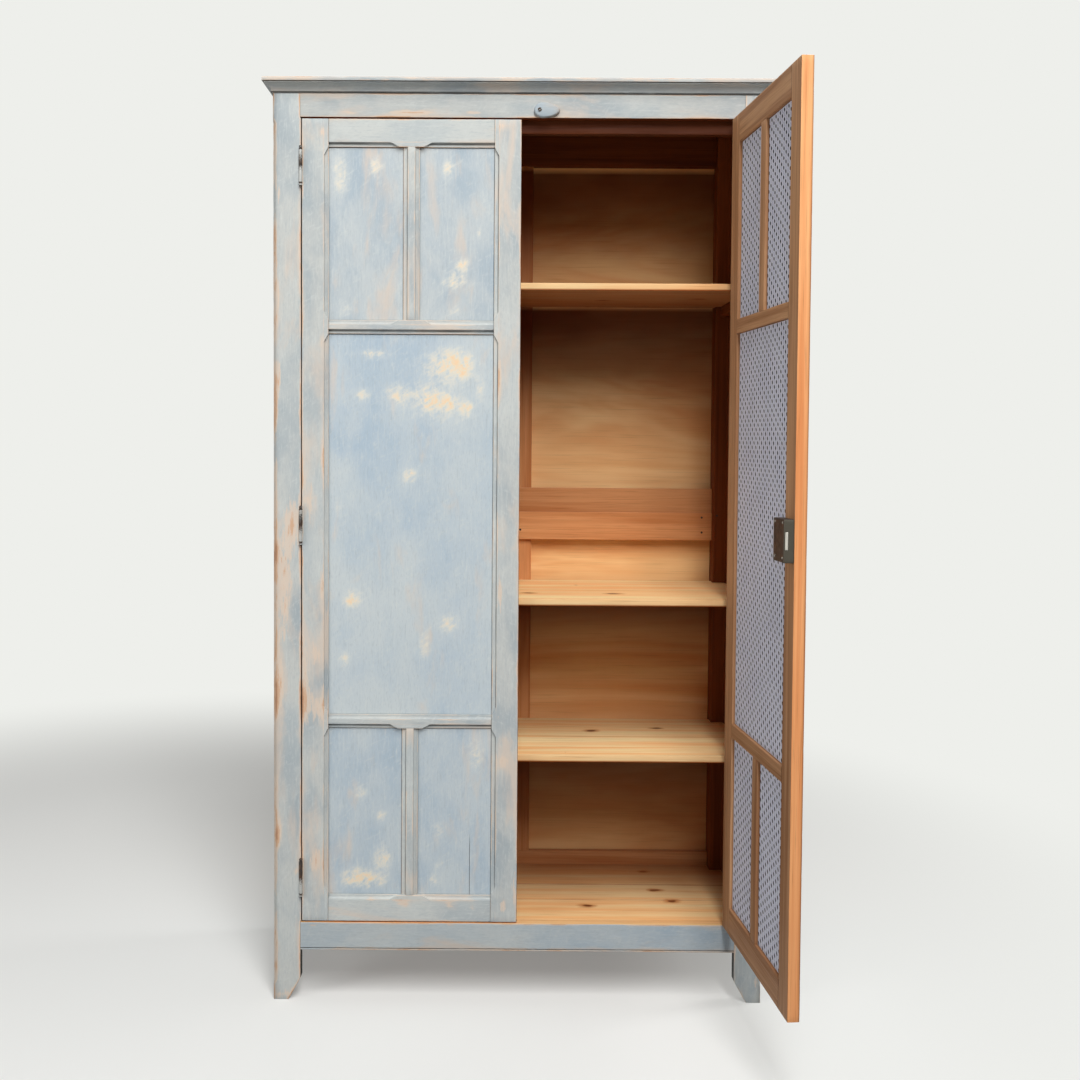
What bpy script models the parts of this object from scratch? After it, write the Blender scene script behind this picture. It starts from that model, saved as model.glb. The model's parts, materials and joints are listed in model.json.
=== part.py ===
"""Free-standing two-door painted wooden cupboard with shelves.

Frame: metres, +Z up, X to the right, the front looks along -Y. The origin is the middle of the
object's footprint on the floor, with the right door standing open. The carcass is four posts with
rails and panels between them. Each door is a grooved frame of stiles, rails and muntins that holds
five flat panels. Its mouldings run right through on the pieces that end in a joint, and are stopped
with slanting run-outs on the pieces that receive one.
"""

import math

import bmesh
import bpy
from mathutils import Vector

# Overall sizes
TOTAL_HEIGHT = 1.853
BODY_WIDTH = 0.990
BODY_DEPTH = 0.392
CLEARANCE = 0.0003
OVERCUT = 0.001

# Posts and their feet
POST_WIDTH = 0.054
FRONT_POST_DEPTH = 0.028
REAR_POST_DEPTH = 0.054
POST_CHAMFER = 0.006
CHAMFER_FOOT_STOP = 0.031
CHAMFER_TOP_STOP = 0.050
CHAMFER_RUNOUT = 0.010
FOOT_CUT_HEIGHT = 0.044
FOOT_CUT_WIDTH = 0.024

# Cornice: a moulded top board, its profile running from the lip down to the bed
CORNICE_HEIGHT = 0.027
CORNICE_OVERHANG = 0.019
CORNICE_LIP = 0.008
CORNICE_LIP_ROUND = 0.002
CORNICE_QUIRK = 0.003
CORNICE_BED = 0.003
CORNICE_BED_OVERHANG = 0.003
CORNICE_COVE_STEPS = 5

# Front rails
RAIL_THICKNESS = 0.022
FRIEZE_HEIGHT = 0.0475
STOP_DROP = 0.026
STOP_THICKNESS = 0.020
LEG_HEIGHT = 0.103
BOTTOM_RAIL_HEIGHT = 0.057
BEAD_HEIGHT = 0.0032
BEAD_QUIRK = 0.0015

# Sides: a panel in grooves of the posts, with its rails outside and shelf bearers inside
SIDE_THICKNESS = 0.016
SIDE_RECESS = 0.010
SIDE_GROOVE = 0.008
SIDE_TOP_RAIL_HEIGHT = 0.058
SIDE_BOTTOM_RAIL_HEIGHT = 0.057
BEARER_WIDTH = 0.018
BEARER_HEIGHT = 0.022

# Boards
FLOOR_THICKNESS = 0.018
SHELF_THICKNESS = 0.0145
SHELF_SETBACK = 0.024
LOWER_SHELF_RISE = 0.3405
MIDDLE_SHELF_RISE = 0.660
UPPER_SHELF_DROP = 0.369

# Back
SHEET_THICKNESS = 0.0035
SHEET_REBATE = 0.008
BACK_FRAME_THICKNESS = 0.018
BACK_TOP_RAIL_HEIGHT = 0.066
BACK_TOP_RAIL_DEPTH = 0.034
BACK_BOTTOM_RAIL_SHOW = 0.030
BACK_STILE_WIDTH = 0.058
BACK_MIDDLE_RAIL_RISE = 0.754
BACK_MIDDLE_LOWER_HEIGHT = 0.063
BACK_MIDDLE_UPPER_HEIGHT = 0.055
BACK_MIDDLE_LOWER_DEPTH = 0.010
BACK_MIDDLE_UPPER_DEPTH = 0.006

# Doors
DOOR_THICKNESS = 0.0215
DOOR_GAP = 0.003
RIGHT_DOOR_OPEN_DEG = 95.0
STILE_WIDTH = 0.053
DOOR_TOP_RAIL_HEIGHT = 0.0545
DOOR_BOTTOM_RAIL_HEIGHT = 0.0535
CROSS_RAIL_HEIGHT = 0.0275
UPPER_PANEL_HEIGHT = 0.342
LOWER_PANEL_HEIGHT = 0.3415
MUNTIN_WIDTH = 0.032
PANEL_THICKNESS = 0.006
PANEL_SETBACK = 0.009
GROOVE_DEPTH = 0.008
PANEL_PLAY = 0.001
TONGUE_INSET = 0.001

# Stopped moulding, as widths from the sight edge and depths from the face
MOULDING_WIDTH = 0.0085
MOULDING_QUIRK = 0.002
MOULDING_DEPTH = 0.0065
MOULDING_FILLET = 0.0025
MOULDING_STEPS = 3
RUNOUT_LENGTH = 0.016
MUNTIN_MARGIN = 0.008

# Lift-off hinges
AXIS_PROUD = 0.004
KNUCKLE_RADIUS = 0.0036
KNUCKLE_LENGTH = 0.066
PIN_RADIUS = 0.002
PIN_REACH = 0.026
FINIAL_LENGTH = 0.007
LEAF_THICKNESS = 0.0012
LEAF_DEPTH = 0.018
LEAF_HEIGHT = 0.070
TURN_STEPS = 12
LOW_HINGE_RISE = 0.0895
TOP_HINGE_DROP = 0.0935

# Rim lock on the right door
LOCK_WIDTH = 0.060
LOCK_HEIGHT = 0.073
LOCK_DEPTH = 0.018
LOCK_CENTRE_RISE = 0.814
BOLT_LENGTH = 0.045
BOLT_HEIGHT = 0.030
BOLT_THICKNESS = 0.0055
BOLT_COVER_WALL = 0.0025
KEYHOLE_SETBACK = 0.030
KEYHOLE_DROP = 0.008
KEYHOLE_RADIUS = 0.0032
KEYHOLE_SLOT = 0.0026
KEYHOLE_LENGTH = 0.013

# Turn button on the frieze
BUTTON_PIVOT_X = 0.0337
BUTTON_PIVOT_RISE = 0.0145
BUTTON_LENGTH = 0.0516
BUTTON_HEIGHT = 0.0304
BUTTON_THICKNESS = 0.009
BUTTON_HEEL = 0.0115
BUTTON_BELLY = 0.0178
BUTTON_ROUND = 0.002
BUTTON_STEPS = 28
SCREW_RADIUS = 0.002
SCREW_REACH = 0.018

# Places that follow from the sizes
HALF_WIDTH = BODY_WIDTH / 2
HALF_OPENING = HALF_WIDTH - POST_WIDTH
CORNICE_BOTTOM = TOTAL_HEIGHT - CORNICE_HEIGHT
FRIEZE_BOTTOM = CORNICE_BOTTOM - FRIEZE_HEIGHT
FLOOR_TOP = LEG_HEIGHT + BOTTOM_RAIL_HEIGHT
SIDE_OUTSIDE = HALF_WIDTH - SIDE_RECESS
SIDE_INSIDE = SIDE_OUTSIDE - SIDE_THICKNESS
REAR_POST_FRONT = BODY_DEPTH - REAR_POST_DEPTH
BACK_REAR = BODY_DEPTH - SHEET_THICKNESS - CLEARANCE
BACK_FRONT = BACK_REAR - BACK_FRAME_THICKNESS
HINGE_GAP = 2 * LEAF_THICKNESS + 3 * CLEARANCE
DOOR_WIDTH = HALF_OPENING - HINGE_GAP - DOOR_GAP / 2
DOOR_BOTTOM = FLOOR_TOP + DOOR_GAP
DOOR_TOP = FRIEZE_BOTTOM - DOOR_GAP
HINGE_X = HALF_OPENING - HINGE_GAP / 2
DOOR_FACE = AXIS_PROUD
DOOR_INSIDE = DOOR_FACE + DOOR_THICKNESS
PANEL_FRONT = DOOR_FACE + PANEL_SETBACK
PANEL_BACK = PANEL_FRONT + PANEL_THICKNESS
LOCK_BACK = DOOR_INSIDE + CLEARANCE
LOCK_COVER = LOCK_BACK + LOCK_DEPTH
LOCK_CENTRE_HEIGHT = DOOR_BOTTOM + LOCK_CENTRE_RISE
BUTTON_PIVOT_Z = FRIEZE_BOTTOM + BUTTON_PIVOT_RISE
BACK_MIDDLE_RAIL_BOTTOM = FLOOR_TOP + BACK_MIDDLE_RAIL_RISE
LOW_HINGE_HEIGHT = DOOR_BOTTOM + LOW_HINGE_RISE
TOP_HINGE_HEIGHT = DOOR_TOP - TOP_HINGE_DROP
HINGE_HEIGHTS = {
    "low": LOW_HINGE_HEIGHT,
    "middle": (LOW_HINGE_HEIGHT + TOP_HINGE_HEIGHT) / 2,
    "top": TOP_HINGE_HEIGHT,
}
SHELF_TOPS = {
    "lower": FLOOR_TOP + LOWER_SHELF_RISE,
    "middle": FLOOR_TOP + MIDDLE_SHELF_RISE,
    "upper": CORNICE_BOTTOM - UPPER_SHELF_DROP,
}

# The open door's furthest corner is on its lock, and the footprint's middle is the origin.
OPEN_ANGLE = math.radians(RIGHT_DOOR_OPEN_DEG)
OPEN_REACH = (
    AXIS_PROUD
    + (HINGE_GAP / 2 + DOOR_WIDTH) * math.sin(OPEN_ANGLE)
    - LOCK_COVER * math.cos(OPEN_ANGLE)
)
FRONT_FACE_Y = (OPEN_REACH - BODY_DEPTH) / 2

X_AXIS = Vector((1, 0, 0))
Y_AXIS = Vector((0, 1, 0))
Z_AXIS = Vector((0, 0, 1))


def clear_scene():
    """Remove every object that the file starts with."""
    for obj in list(bpy.data.objects):
        bpy.data.objects.remove(obj, do_unlink=True)


def new_collection(name):
    """A collection of this name, linked to the scene."""
    collection = bpy.data.collections.new(name)
    bpy.context.scene.collection.children.link(collection)
    return collection


clear_scene()
PARTS = new_collection("painted_cupboard")
CUTTERS = new_collection("cupboard_cutters")


def finish(name, colour, roughness, metallic=0.0):
    """A Principled material with one colour."""
    material = bpy.data.materials.new(name)
    material.use_nodes = True
    shader = material.node_tree.nodes["Principled BSDF"]
    shader.inputs["Base Color"].default_value = (*colour, 1.0)
    shader.inputs["Roughness"].default_value = roughness
    shader.inputs["Metallic"].default_value = metallic
    material.diffuse_color = (*colour, 1.0)
    return material


PAINT = finish("chalk_paint", (0.50, 0.56, 0.57), 0.75)
BARE_WOOD = finish("bare_wood", (0.45, 0.27, 0.13), 0.6)
SHELF_WOOD = finish("shelf_wood", (0.62, 0.40, 0.20), 0.55)
BACK_WOOD = finish("back_wood", (0.33, 0.17, 0.07), 0.6)
IRON = finish("hinge_iron", (0.16, 0.15, 0.14), 0.5, 0.9)
LOCK_IRON = finish("lock_iron", (0.10, 0.09, 0.08), 0.55, 0.8)
BOLT_STEEL = finish("bolt_steel", (0.55, 0.55, 0.53), 0.35, 1.0)


def empty(name, location, parent=None, turn_z=0.0):
    """A named empty that carries the pieces of one assembly."""
    holder = bpy.data.objects.new(name, None)
    holder.empty_display_size = 0.05
    holder.location = location
    holder.rotation_euler = (0.0, 0.0, turn_z)
    holder.parent = parent
    PARTS.objects.link(holder)
    return holder


def mesh_object(name, bm, collection, parent, location=(0.0, 0.0, 0.0)):
    """Turn a bmesh into an object with its faces pointing out."""
    bmesh.ops.recalc_face_normals(bm, faces=bm.faces)
    mesh = bpy.data.meshes.new(name)
    bm.to_mesh(mesh)
    bm.free()
    obj = bpy.data.objects.new(name, mesh)
    obj.location = location
    obj.parent = parent
    collection.objects.link(obj)
    return obj


def piece(name, bm, material, parent, location=(0.0, 0.0, 0.0)):
    """One part of the cupboard."""
    obj = mesh_object(name, bm, PARTS, parent, location)
    obj.data.materials.append(material)
    return obj


def shape_with(obj, bm, operation):
    """Cut a helper shape out of a part, or join it to the part."""
    helper = mesh_object(f"{obj.name}_{operation.lower()}", bm, CUTTERS, obj.parent, obj.location)
    helper.hide_render = True
    helper.display_type = "WIRE"
    boolean = obj.modifiers.new(operation.title(), "BOOLEAN")
    boolean.operation = operation
    boolean.solver = "EXACT"
    boolean.object = helper


def cut(obj, *shapes):
    """Cut each shape out of a part."""
    for shape in shapes:
        shape_with(obj, shape, "DIFFERENCE")


def join(obj, *shapes):
    """Join each shape to a part."""
    for shape in shapes:
        shape_with(obj, shape, "UNION")


def round_edges(obj, width, segments=2):
    """Round the part's sharp edges."""
    bevel = obj.modifiers.new("Rounded edges", "BEVEL")
    bevel.width = width
    bevel.segments = segments
    bevel.limit_method = "ANGLE"


def box(xs, ys, zs):
    """A box between two values on each axis, given in either order."""
    bm = bmesh.new()
    bmesh.ops.create_cube(bm, size=1.0)
    sizes = [abs(high - low) for low, high in (xs, ys, zs)]
    middles = [(low + high) / 2 for low, high in (xs, ys, zs)]
    bmesh.ops.scale(bm, vec=sizes, verts=bm.verts)
    bmesh.ops.translate(bm, vec=middles, verts=bm.verts)
    return bm


def prism(outline, along, length):
    """A flat outline, given as points in space, drawn out along a direction."""
    bm = bmesh.new()
    face = bm.faces.new([bm.verts.new(point) for point in outline])
    drawn = bmesh.ops.extrude_face_region(bm, geom=[face])
    tips = [element for element in drawn["geom"] if isinstance(element, bmesh.types.BMVert)]
    bmesh.ops.translate(bm, vec=along * length, verts=tips)
    return bm


def cylinder_y(x, z, radius, front, back, steps=TURN_STEPS):
    """A round bar along Y."""
    points = []
    for step in range(steps):
        angle = 2 * math.pi * step / steps
        points.append(Vector((x + radius * math.cos(angle), front, z + radius * math.sin(angle))))
    return prism(points, Y_AXIS, back - front)


def stopped_prism(outline, along, across, edge, start, end, start_slant, end_slant):
    """A prism whose ends slant: each end recedes by its slant per unit of width from the edge line."""
    bm = bmesh.new()
    ring = [bm.verts.new(point) for point in outline]
    face = bm.faces.new(ring)
    drawn = bmesh.ops.extrude_face_region(bm, geom=[face])
    tips = [element for element in drawn["geom"] if isinstance(element, bmesh.types.BMVert)]
    for vert in ring:
        vert.co += along * (start + start_slant * (vert.co - edge).dot(across))
    for vert in tips:
        vert.co += along * (end - end_slant * (vert.co - edge).dot(across))
    return bm


def moulding_run(edge, across, along, start, end, start_stop, end_stop):
    """What the moulding takes off one arris: a quirk at the face, a cove, and a fillet at the edge.

    The edge is a point of the sight line in the face, across points into the piece and the run goes
    along. A stopped end starts at the sight line and slants back to the moulding's full width.
    """
    cove_width = MOULDING_WIDTH - MOULDING_FILLET
    cove_depth = MOULDING_DEPTH - MOULDING_QUIRK
    profile = [(-OVERCUT, -OVERCUT), (MOULDING_WIDTH, -OVERCUT)]
    for step in range(MOULDING_STEPS + 1):
        angle = math.pi / 2 * step / MOULDING_STEPS
        width = MOULDING_FILLET + cove_width * math.cos(angle)
        depth = MOULDING_QUIRK + cove_depth * math.sin(angle)
        profile.append((width, depth))
    profile.append((-OVERCUT, MOULDING_DEPTH))
    outline = [edge + across * width + Y_AXIS * depth for width, depth in profile]
    slant = RUNOUT_LENGTH / MOULDING_WIDTH
    slants = [slant if stopped else 0.0 for stopped in (start_stop, end_stop)]
    begin = start if start_stop else start - OVERCUT
    finish_at = end if end_stop else end + OVERCUT
    return stopped_prism(outline, along, across, edge, begin, finish_at, *slants)


def build_posts(root):
    """Four square posts that end in feet, with a stopped chamfer on each front corner."""
    top = CORNICE_BOTTOM - CLEARANCE
    for side, hand in ((-1, "left"), (1, "right")):
        inner = side * HALF_OPENING
        outer = side * HALF_WIDTH
        foot_cut = [
            Vector((inner - side * OVERCUT, -OVERCUT, FOOT_CUT_HEIGHT)),
            Vector((inner, -OVERCUT, FOOT_CUT_HEIGHT)),
            Vector((inner + side * FOOT_CUT_WIDTH, -OVERCUT, 0.0)),
            Vector((inner + side * FOOT_CUT_WIDTH, -OVERCUT, -OVERCUT)),
            Vector((inner - side * OVERCUT, -OVERCUT, -OVERCUT)),
        ]
        groove_x = (side * (SIDE_INSIDE - CLEARANCE), side * (SIDE_OUTSIDE + CLEARANCE))
        groove_z = (LEG_HEIGHT - CLEARANCE, top + OVERCUT)
        front = piece(
            f"front_{hand}_post", box((inner, outer), (0.0, FRONT_POST_DEPTH), (0.0, top)), PAINT, root
        )
        corner = Vector((outer, 0.0, 0.0))
        chamfer = [
            corner + Vector((side * OVERCUT, -OVERCUT, 0.0)),
            corner + Vector((-side * POST_CHAMFER, -OVERCUT, 0.0)),
            corner + Vector((-side * POST_CHAMFER, 0.0, 0.0)),
            corner + Vector((0.0, POST_CHAMFER, 0.0)),
            corner + Vector((side * OVERCUT, POST_CHAMFER, 0.0)),
        ]
        slant = CHAMFER_RUNOUT / POST_CHAMFER
        cut(
            front,
            prism(foot_cut, Y_AXIS, FRONT_POST_DEPTH + 2 * OVERCUT),
            box(groove_x, (FRONT_POST_DEPTH - SIDE_GROOVE, FRONT_POST_DEPTH + OVERCUT), groove_z),
            stopped_prism(
                chamfer, Z_AXIS, -side * X_AXIS, corner,
                CHAMFER_FOOT_STOP, CORNICE_BOTTOM - CHAMFER_TOP_STOP, slant, slant,
            ),
        )
        rear = piece(
            f"rear_{hand}_post",
            box((inner, outer), (REAR_POST_FRONT, BODY_DEPTH), (0.0, top)),
            PAINT,
            root,
        )
        rear_foot = [point + Y_AXIS * REAR_POST_FRONT for point in foot_cut]
        rebate_x = (inner - side * OVERCUT, inner + side * SHEET_REBATE)
        cut(
            rear,
            prism(rear_foot, Y_AXIS, REAR_POST_DEPTH + 2 * OVERCUT),
            box(groove_x, (REAR_POST_FRONT - OVERCUT, REAR_POST_FRONT + SIDE_GROOVE), groove_z),
            box(rebate_x, (BACK_REAR, BODY_DEPTH + OVERCUT), groove_z),
        )


def cornice_profile():
    """Overhang and height of the moulded edge, from the bed up: fillet, cove, quirk and lip."""
    cove_low = CORNICE_BOTTOM + CORNICE_BED
    cove_high = TOTAL_HEIGHT - CORNICE_LIP - CORNICE_QUIRK
    cove_reach = CORNICE_OVERHANG - CORNICE_QUIRK - CORNICE_BED_OVERHANG
    profile = [(CORNICE_BED_OVERHANG, CORNICE_BOTTOM)]
    for step in range(CORNICE_COVE_STEPS + 1):
        angle = math.pi / 2 * step / CORNICE_COVE_STEPS
        overhang = CORNICE_BED_OVERHANG + cove_reach * (1 - math.cos(angle))
        profile.append((overhang, cove_low + (cove_high - cove_low) * math.sin(angle)))
    quirk = CORNICE_OVERHANG - CORNICE_QUIRK
    profile.append((quirk, TOTAL_HEIGHT - CORNICE_LIP))
    profile.append((CORNICE_OVERHANG, TOTAL_HEIGHT - CORNICE_LIP))
    profile.append((CORNICE_OVERHANG, TOTAL_HEIGHT - CORNICE_LIP_ROUND))
    profile.append((CORNICE_OVERHANG - CORNICE_LIP_ROUND, TOTAL_HEIGHT))
    return profile


def build_cornice(root):
    """The top board, with the cornice run on its front and ends as a loft of rectangles."""
    bm = bmesh.new()
    rings = []
    for overhang, height in cornice_profile():
        reach = HALF_WIDTH + overhang
        corners = [(-reach, -overhang), (reach, -overhang), (reach, BODY_DEPTH), (-reach, BODY_DEPTH)]
        rings.append([bm.verts.new((x, y, height)) for x, y in corners])
    bm.faces.new(reversed(rings[0]))
    bm.faces.new(rings[-1])
    for below, above in zip(rings, rings[1:]):
        for index in range(len(below)):
            following = (index + 1) % len(below)
            bm.faces.new((below[index], below[following], above[following], above[index]))
    piece("cornice_top", bm, PAINT, root)


def build_front_rails(root):
    """The frieze, the stop behind it that the doors close on, and the bottom rail with its bead."""
    span = (-HALF_OPENING + CLEARANCE, HALF_OPENING - CLEARANCE)
    top = CORNICE_BOTTOM - CLEARANCE
    frieze = piece("frieze_rail", box(span, (0.0, RAIL_THICKNESS), (FRIEZE_BOTTOM, top)), PAINT, root)
    cut(
        frieze,
        cylinder_y(
            BUTTON_PIVOT_X, BUTTON_PIVOT_Z, SCREW_RADIUS + CLEARANCE, -OVERCUT, SCREW_REACH + OVERCUT
        ),
    )
    stop_front = RAIL_THICKNESS + CLEARANCE
    piece(
        "door_stop",
        box(span, (stop_front, stop_front + STOP_THICKNESS), (FRIEZE_BOTTOM - STOP_DROP, top)),
        BARE_WOOD,
        root,
    )
    bottom = piece(
        "front_bottom_rail", box(span, (0.0, RAIL_THICKNESS), (LEG_HEIGHT, FLOOR_TOP)), PAINT, root
    )
    quirk_low = LEG_HEIGHT + BEAD_HEIGHT
    beyond = (span[0] - OVERCUT, span[1] + OVERCUT)
    cut(bottom, box(beyond, (-OVERCUT, BEAD_QUIRK), (quirk_low, quirk_low + BEAD_QUIRK)))


def build_sides(root):
    """Each side: a panel with its top and bottom rails outside, and bearers under the boards inside."""
    between = (FRONT_POST_DEPTH + CLEARANCE, REAR_POST_FRONT - CLEARANCE)
    in_grooves = (
        FRONT_POST_DEPTH - SIDE_GROOVE + CLEARANCE,
        REAR_POST_FRONT + SIDE_GROOVE - CLEARANCE,
    )
    top = CORNICE_BOTTOM - CLEARANCE
    undersides = [FLOOR_TOP - FLOOR_THICKNESS]
    undersides += [shelf_top - SHELF_THICKNESS for shelf_top in SHELF_TOPS.values()]
    for side, hand in ((-1, "left"), (1, "right")):
        panel = piece(
            f"{hand}_side",
            box((side * SIDE_INSIDE, side * SIDE_OUTSIDE), in_grooves, (LEG_HEIGHT, top)),
            PAINT,
            root,
        )
        rail_x = (side * (SIDE_OUTSIDE - SIDE_THICKNESS / 2), side * HALF_WIDTH)
        join(
            panel,
            box(rail_x, between, (top - SIDE_TOP_RAIL_HEIGHT, top)),
            box(rail_x, between, (LEG_HEIGHT, LEG_HEIGHT + SIDE_BOTTOM_RAIL_HEIGHT)),
        )
        bearer_x = (side * (SIDE_INSIDE - BEARER_WIDTH), side * (SIDE_INSIDE + SIDE_THICKNESS / 2))
        for underside in undersides:
            bearer_top = underside - CLEARANCE
            join(panel, box(bearer_x, between, (bearer_top - BEARER_HEIGHT, bearer_top)))


def build_back(root):
    """The back: a frame of rails and a centre stile between the rear posts, and a thin sheet behind."""
    span = (-HALF_OPENING + CLEARANCE, HALF_OPENING - CLEARANCE)
    depth = (BACK_FRONT, BACK_REAR - CLEARANCE)
    top = CORNICE_BOTTOM - CLEARANCE
    top_rail_bottom = top - BACK_TOP_RAIL_HEIGHT
    bottom_rail_top = FLOOR_TOP + BACK_BOTTOM_RAIL_SHOW
    piece(
        "back_top_rail",
        box(span, (depth[1] - BACK_TOP_RAIL_DEPTH, depth[1]), (top_rail_bottom, top)),
        BACK_WOOD,
        root,
    )
    piece("back_bottom_rail", box(span, depth, (LEG_HEIGHT, bottom_rail_top)), BACK_WOOD, root)
    half_stile = BACK_STILE_WIDTH / 2
    piece(
        "back_centre_stile",
        box((-half_stile, half_stile), depth, (bottom_rail_top + CLEARANCE, top_rail_bottom - CLEARANCE)),
        BACK_WOOD,
        root,
    )
    rail_rear = BACK_FRONT - CLEARANCE
    step_height = BACK_MIDDLE_RAIL_BOTTOM + BACK_MIDDLE_LOWER_HEIGHT
    rail_top = step_height + BACK_MIDDLE_UPPER_HEIGHT
    stepped = [
        Vector((span[0], rail_rear, BACK_MIDDLE_RAIL_BOTTOM)),
        Vector((span[0], rail_rear - BACK_MIDDLE_LOWER_DEPTH, BACK_MIDDLE_RAIL_BOTTOM)),
        Vector((span[0], rail_rear - BACK_MIDDLE_LOWER_DEPTH, step_height)),
        Vector((span[0], rail_rear - BACK_MIDDLE_UPPER_DEPTH, step_height)),
        Vector((span[0], rail_rear - BACK_MIDDLE_UPPER_DEPTH, rail_top)),
        Vector((span[0], rail_rear, rail_top)),
    ]
    piece("back_middle_rail", prism(stepped, X_AXIS, span[1] - span[0]), BACK_WOOD, root)
    half_sheet = HALF_OPENING + SHEET_REBATE - CLEARANCE
    piece(
        "back_sheet",
        box((-half_sheet, half_sheet), (BACK_REAR + CLEARANCE, BODY_DEPTH), (LEG_HEIGHT, top)),
        BACK_WOOD,
        root,
    )


def notched_board(front, top, thickness):
    """A board that fills the plan between the sides and is notched round the four posts."""
    narrow = HALF_OPENING - CLEARANCE
    wide = SIDE_INSIDE - CLEARANCE
    back = BACK_FRONT - CLEARANCE
    front_notch = FRONT_POST_DEPTH + CLEARANCE
    rear_notch = REAR_POST_FRONT - CLEARANCE
    half = [
        (narrow, front), (narrow, front_notch), (wide, front_notch),
        (wide, rear_notch), (narrow, rear_notch), (narrow, back),
    ]
    plan = half + [(-x, y) for x, y in reversed(half)]
    return prism([Vector((x, y, top - thickness)) for x, y in plan], Z_AXIS, thickness)


def build_boards(root):
    """The floor and three shelves."""
    floor_front = RAIL_THICKNESS + CLEARANCE
    piece("floor_board", notched_board(floor_front, FLOOR_TOP, FLOOR_THICKNESS), SHELF_WOOD, root)
    for level, shelf_top in SHELF_TOPS.items():
        board = notched_board(SHELF_SETBACK, shelf_top, SHELF_THICKNESS)
        piece(f"{level}_shelf", board, SHELF_WOOD, root)


def build_turn_button(root):
    """An egg-shaped button that turns on its screw, with its origin on the screw's axis."""
    heel = -BUTTON_HEEL
    widest = heel + BUTTON_BELLY
    outline = []
    for step in range(BUTTON_STEPS):
        angle = 2 * math.pi * step / BUTTON_STEPS
        reach = BUTTON_LENGTH - BUTTON_BELLY if math.cos(angle) > 0 else BUTTON_BELLY
        x = widest + reach * math.cos(angle)
        outline.append(Vector((x, -BUTTON_THICKNESS - CLEARANCE, BUTTON_HEIGHT / 2 * math.sin(angle))))
    button = piece(
        "turn_button",
        prism(outline, Y_AXIS, BUTTON_THICKNESS),
        PAINT,
        root,
        (BUTTON_PIVOT_X, 0.0, BUTTON_PIVOT_Z),
    )
    round_edges(button, BUTTON_ROUND)
    join(button, cylinder_y(0.0, 0.0, SCREW_RADIUS, -BUTTON_THICKNESS / 2, SCREW_REACH))


def turned(name, profile, material, parent, location):
    """A profile of radius and height, run from the top down its outer side, turned about Z."""
    bm = bmesh.new()
    verts = [bm.verts.new((radius, 0.0, height)) for radius, height in profile]
    for above, below in zip(verts, verts[1:]):
        bm.edges.new((above, below))
    mesh = bpy.data.meshes.new(name)
    bm.to_mesh(mesh)
    bm.free()
    obj = bpy.data.objects.new(name, mesh)
    obj.location = location
    obj.parent = parent
    obj.data.materials.append(material)
    PARTS.objects.link(obj)
    screw = obj.modifiers.new("Turned", "SCREW")
    screw.steps = TURN_STEPS
    screw.render_steps = TURN_STEPS
    screw.use_merge_vertices = True
    screw.merge_threshold = 0.00001
    return obj


def finial(direction):
    """Ring and ball at a hinge's end, from the knuckle outwards, as radius and height beyond it."""
    neck, ball = 0.7 * KNUCKLE_RADIUS, 0.92 * KNUCKLE_RADIUS
    shape = [(neck, 0.12), (neck, 0.26), (ball, 0.48), (ball, 0.66), (0.5 * ball, 0.92), (0.0, 1.0)]
    return [(radius, direction * FINIAL_LENGTH * share) for radius, share in shape]


def hinge_leaf(side, low_tab, high_tab):
    """A leaf in the gap beside the door, with a tab that reaches the knuckle between two heights.

    The side is the sign of the leaf's place in X from the pin.
    """
    inside = side * CLEARANCE / 2
    plate_front = AXIS_PROUD + CLEARANCE
    plate_back = AXIS_PROUD + LEAF_DEPTH
    tab_front = (PIN_RADIUS + CLEARANCE + KNUCKLE_RADIUS) / 2
    half = LEAF_HEIGHT / 2
    outline = [(plate_back, -half), (plate_front, -half)]
    outline += [(plate_front, low_tab), (tab_front, low_tab)]
    outline += [(tab_front, high_tab), (plate_front, high_tab)]
    outline += [(plate_front, half), (plate_back, half)]
    points = [Vector((inside, y, z)) for y, z in outline]
    return prism(points, side * X_AXIS, LEAF_THICKNESS)


def build_hinge(hand, level, hand_sign, root, door):
    """A lift-off hinge: the post's half with the pin, and the door's half that drops over it.

    Both halves have their origin on the pin's axis at the hinge's mid-height.
    """
    half = KNUCKLE_LENGTH / 2
    height = HINGE_HEIGHTS[level]
    bore = PIN_RADIUS + CLEARANCE
    tab_margin = 2 * CLEARANCE
    lower = [(0.0, PIN_REACH), (PIN_RADIUS, PIN_REACH), (PIN_RADIUS, 0.0), (KNUCKLE_RADIUS, 0.0)]
    lower += [(KNUCKLE_RADIUS, -half)]
    lower += [(radius, -half + beyond) for radius, beyond in finial(-1)]
    place = (hand_sign * HINGE_X, -AXIS_PROUD, height)
    post_half = turned(f"{hand}_post_hinge_{level}", lower, IRON, root, place)
    join(post_half, hinge_leaf(hand_sign, -half + tab_margin, -tab_margin))
    upper = [(radius, half + beyond) for radius, beyond in reversed(finial(1))]
    upper += [(KNUCKLE_RADIUS, half), (KNUCKLE_RADIUS, CLEARANCE), (bore, CLEARANCE)]
    upper += [(bore, PIN_REACH + CLEARANCE), (0.0, PIN_REACH + CLEARANCE)]
    door_half = turned(f"{hand}_door_hinge_{level}", upper, IRON, door, (0.0, 0.0, height))
    join(door_half, hinge_leaf(-hand_sign, CLEARANCE + tab_margin, half - tab_margin))


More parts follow.
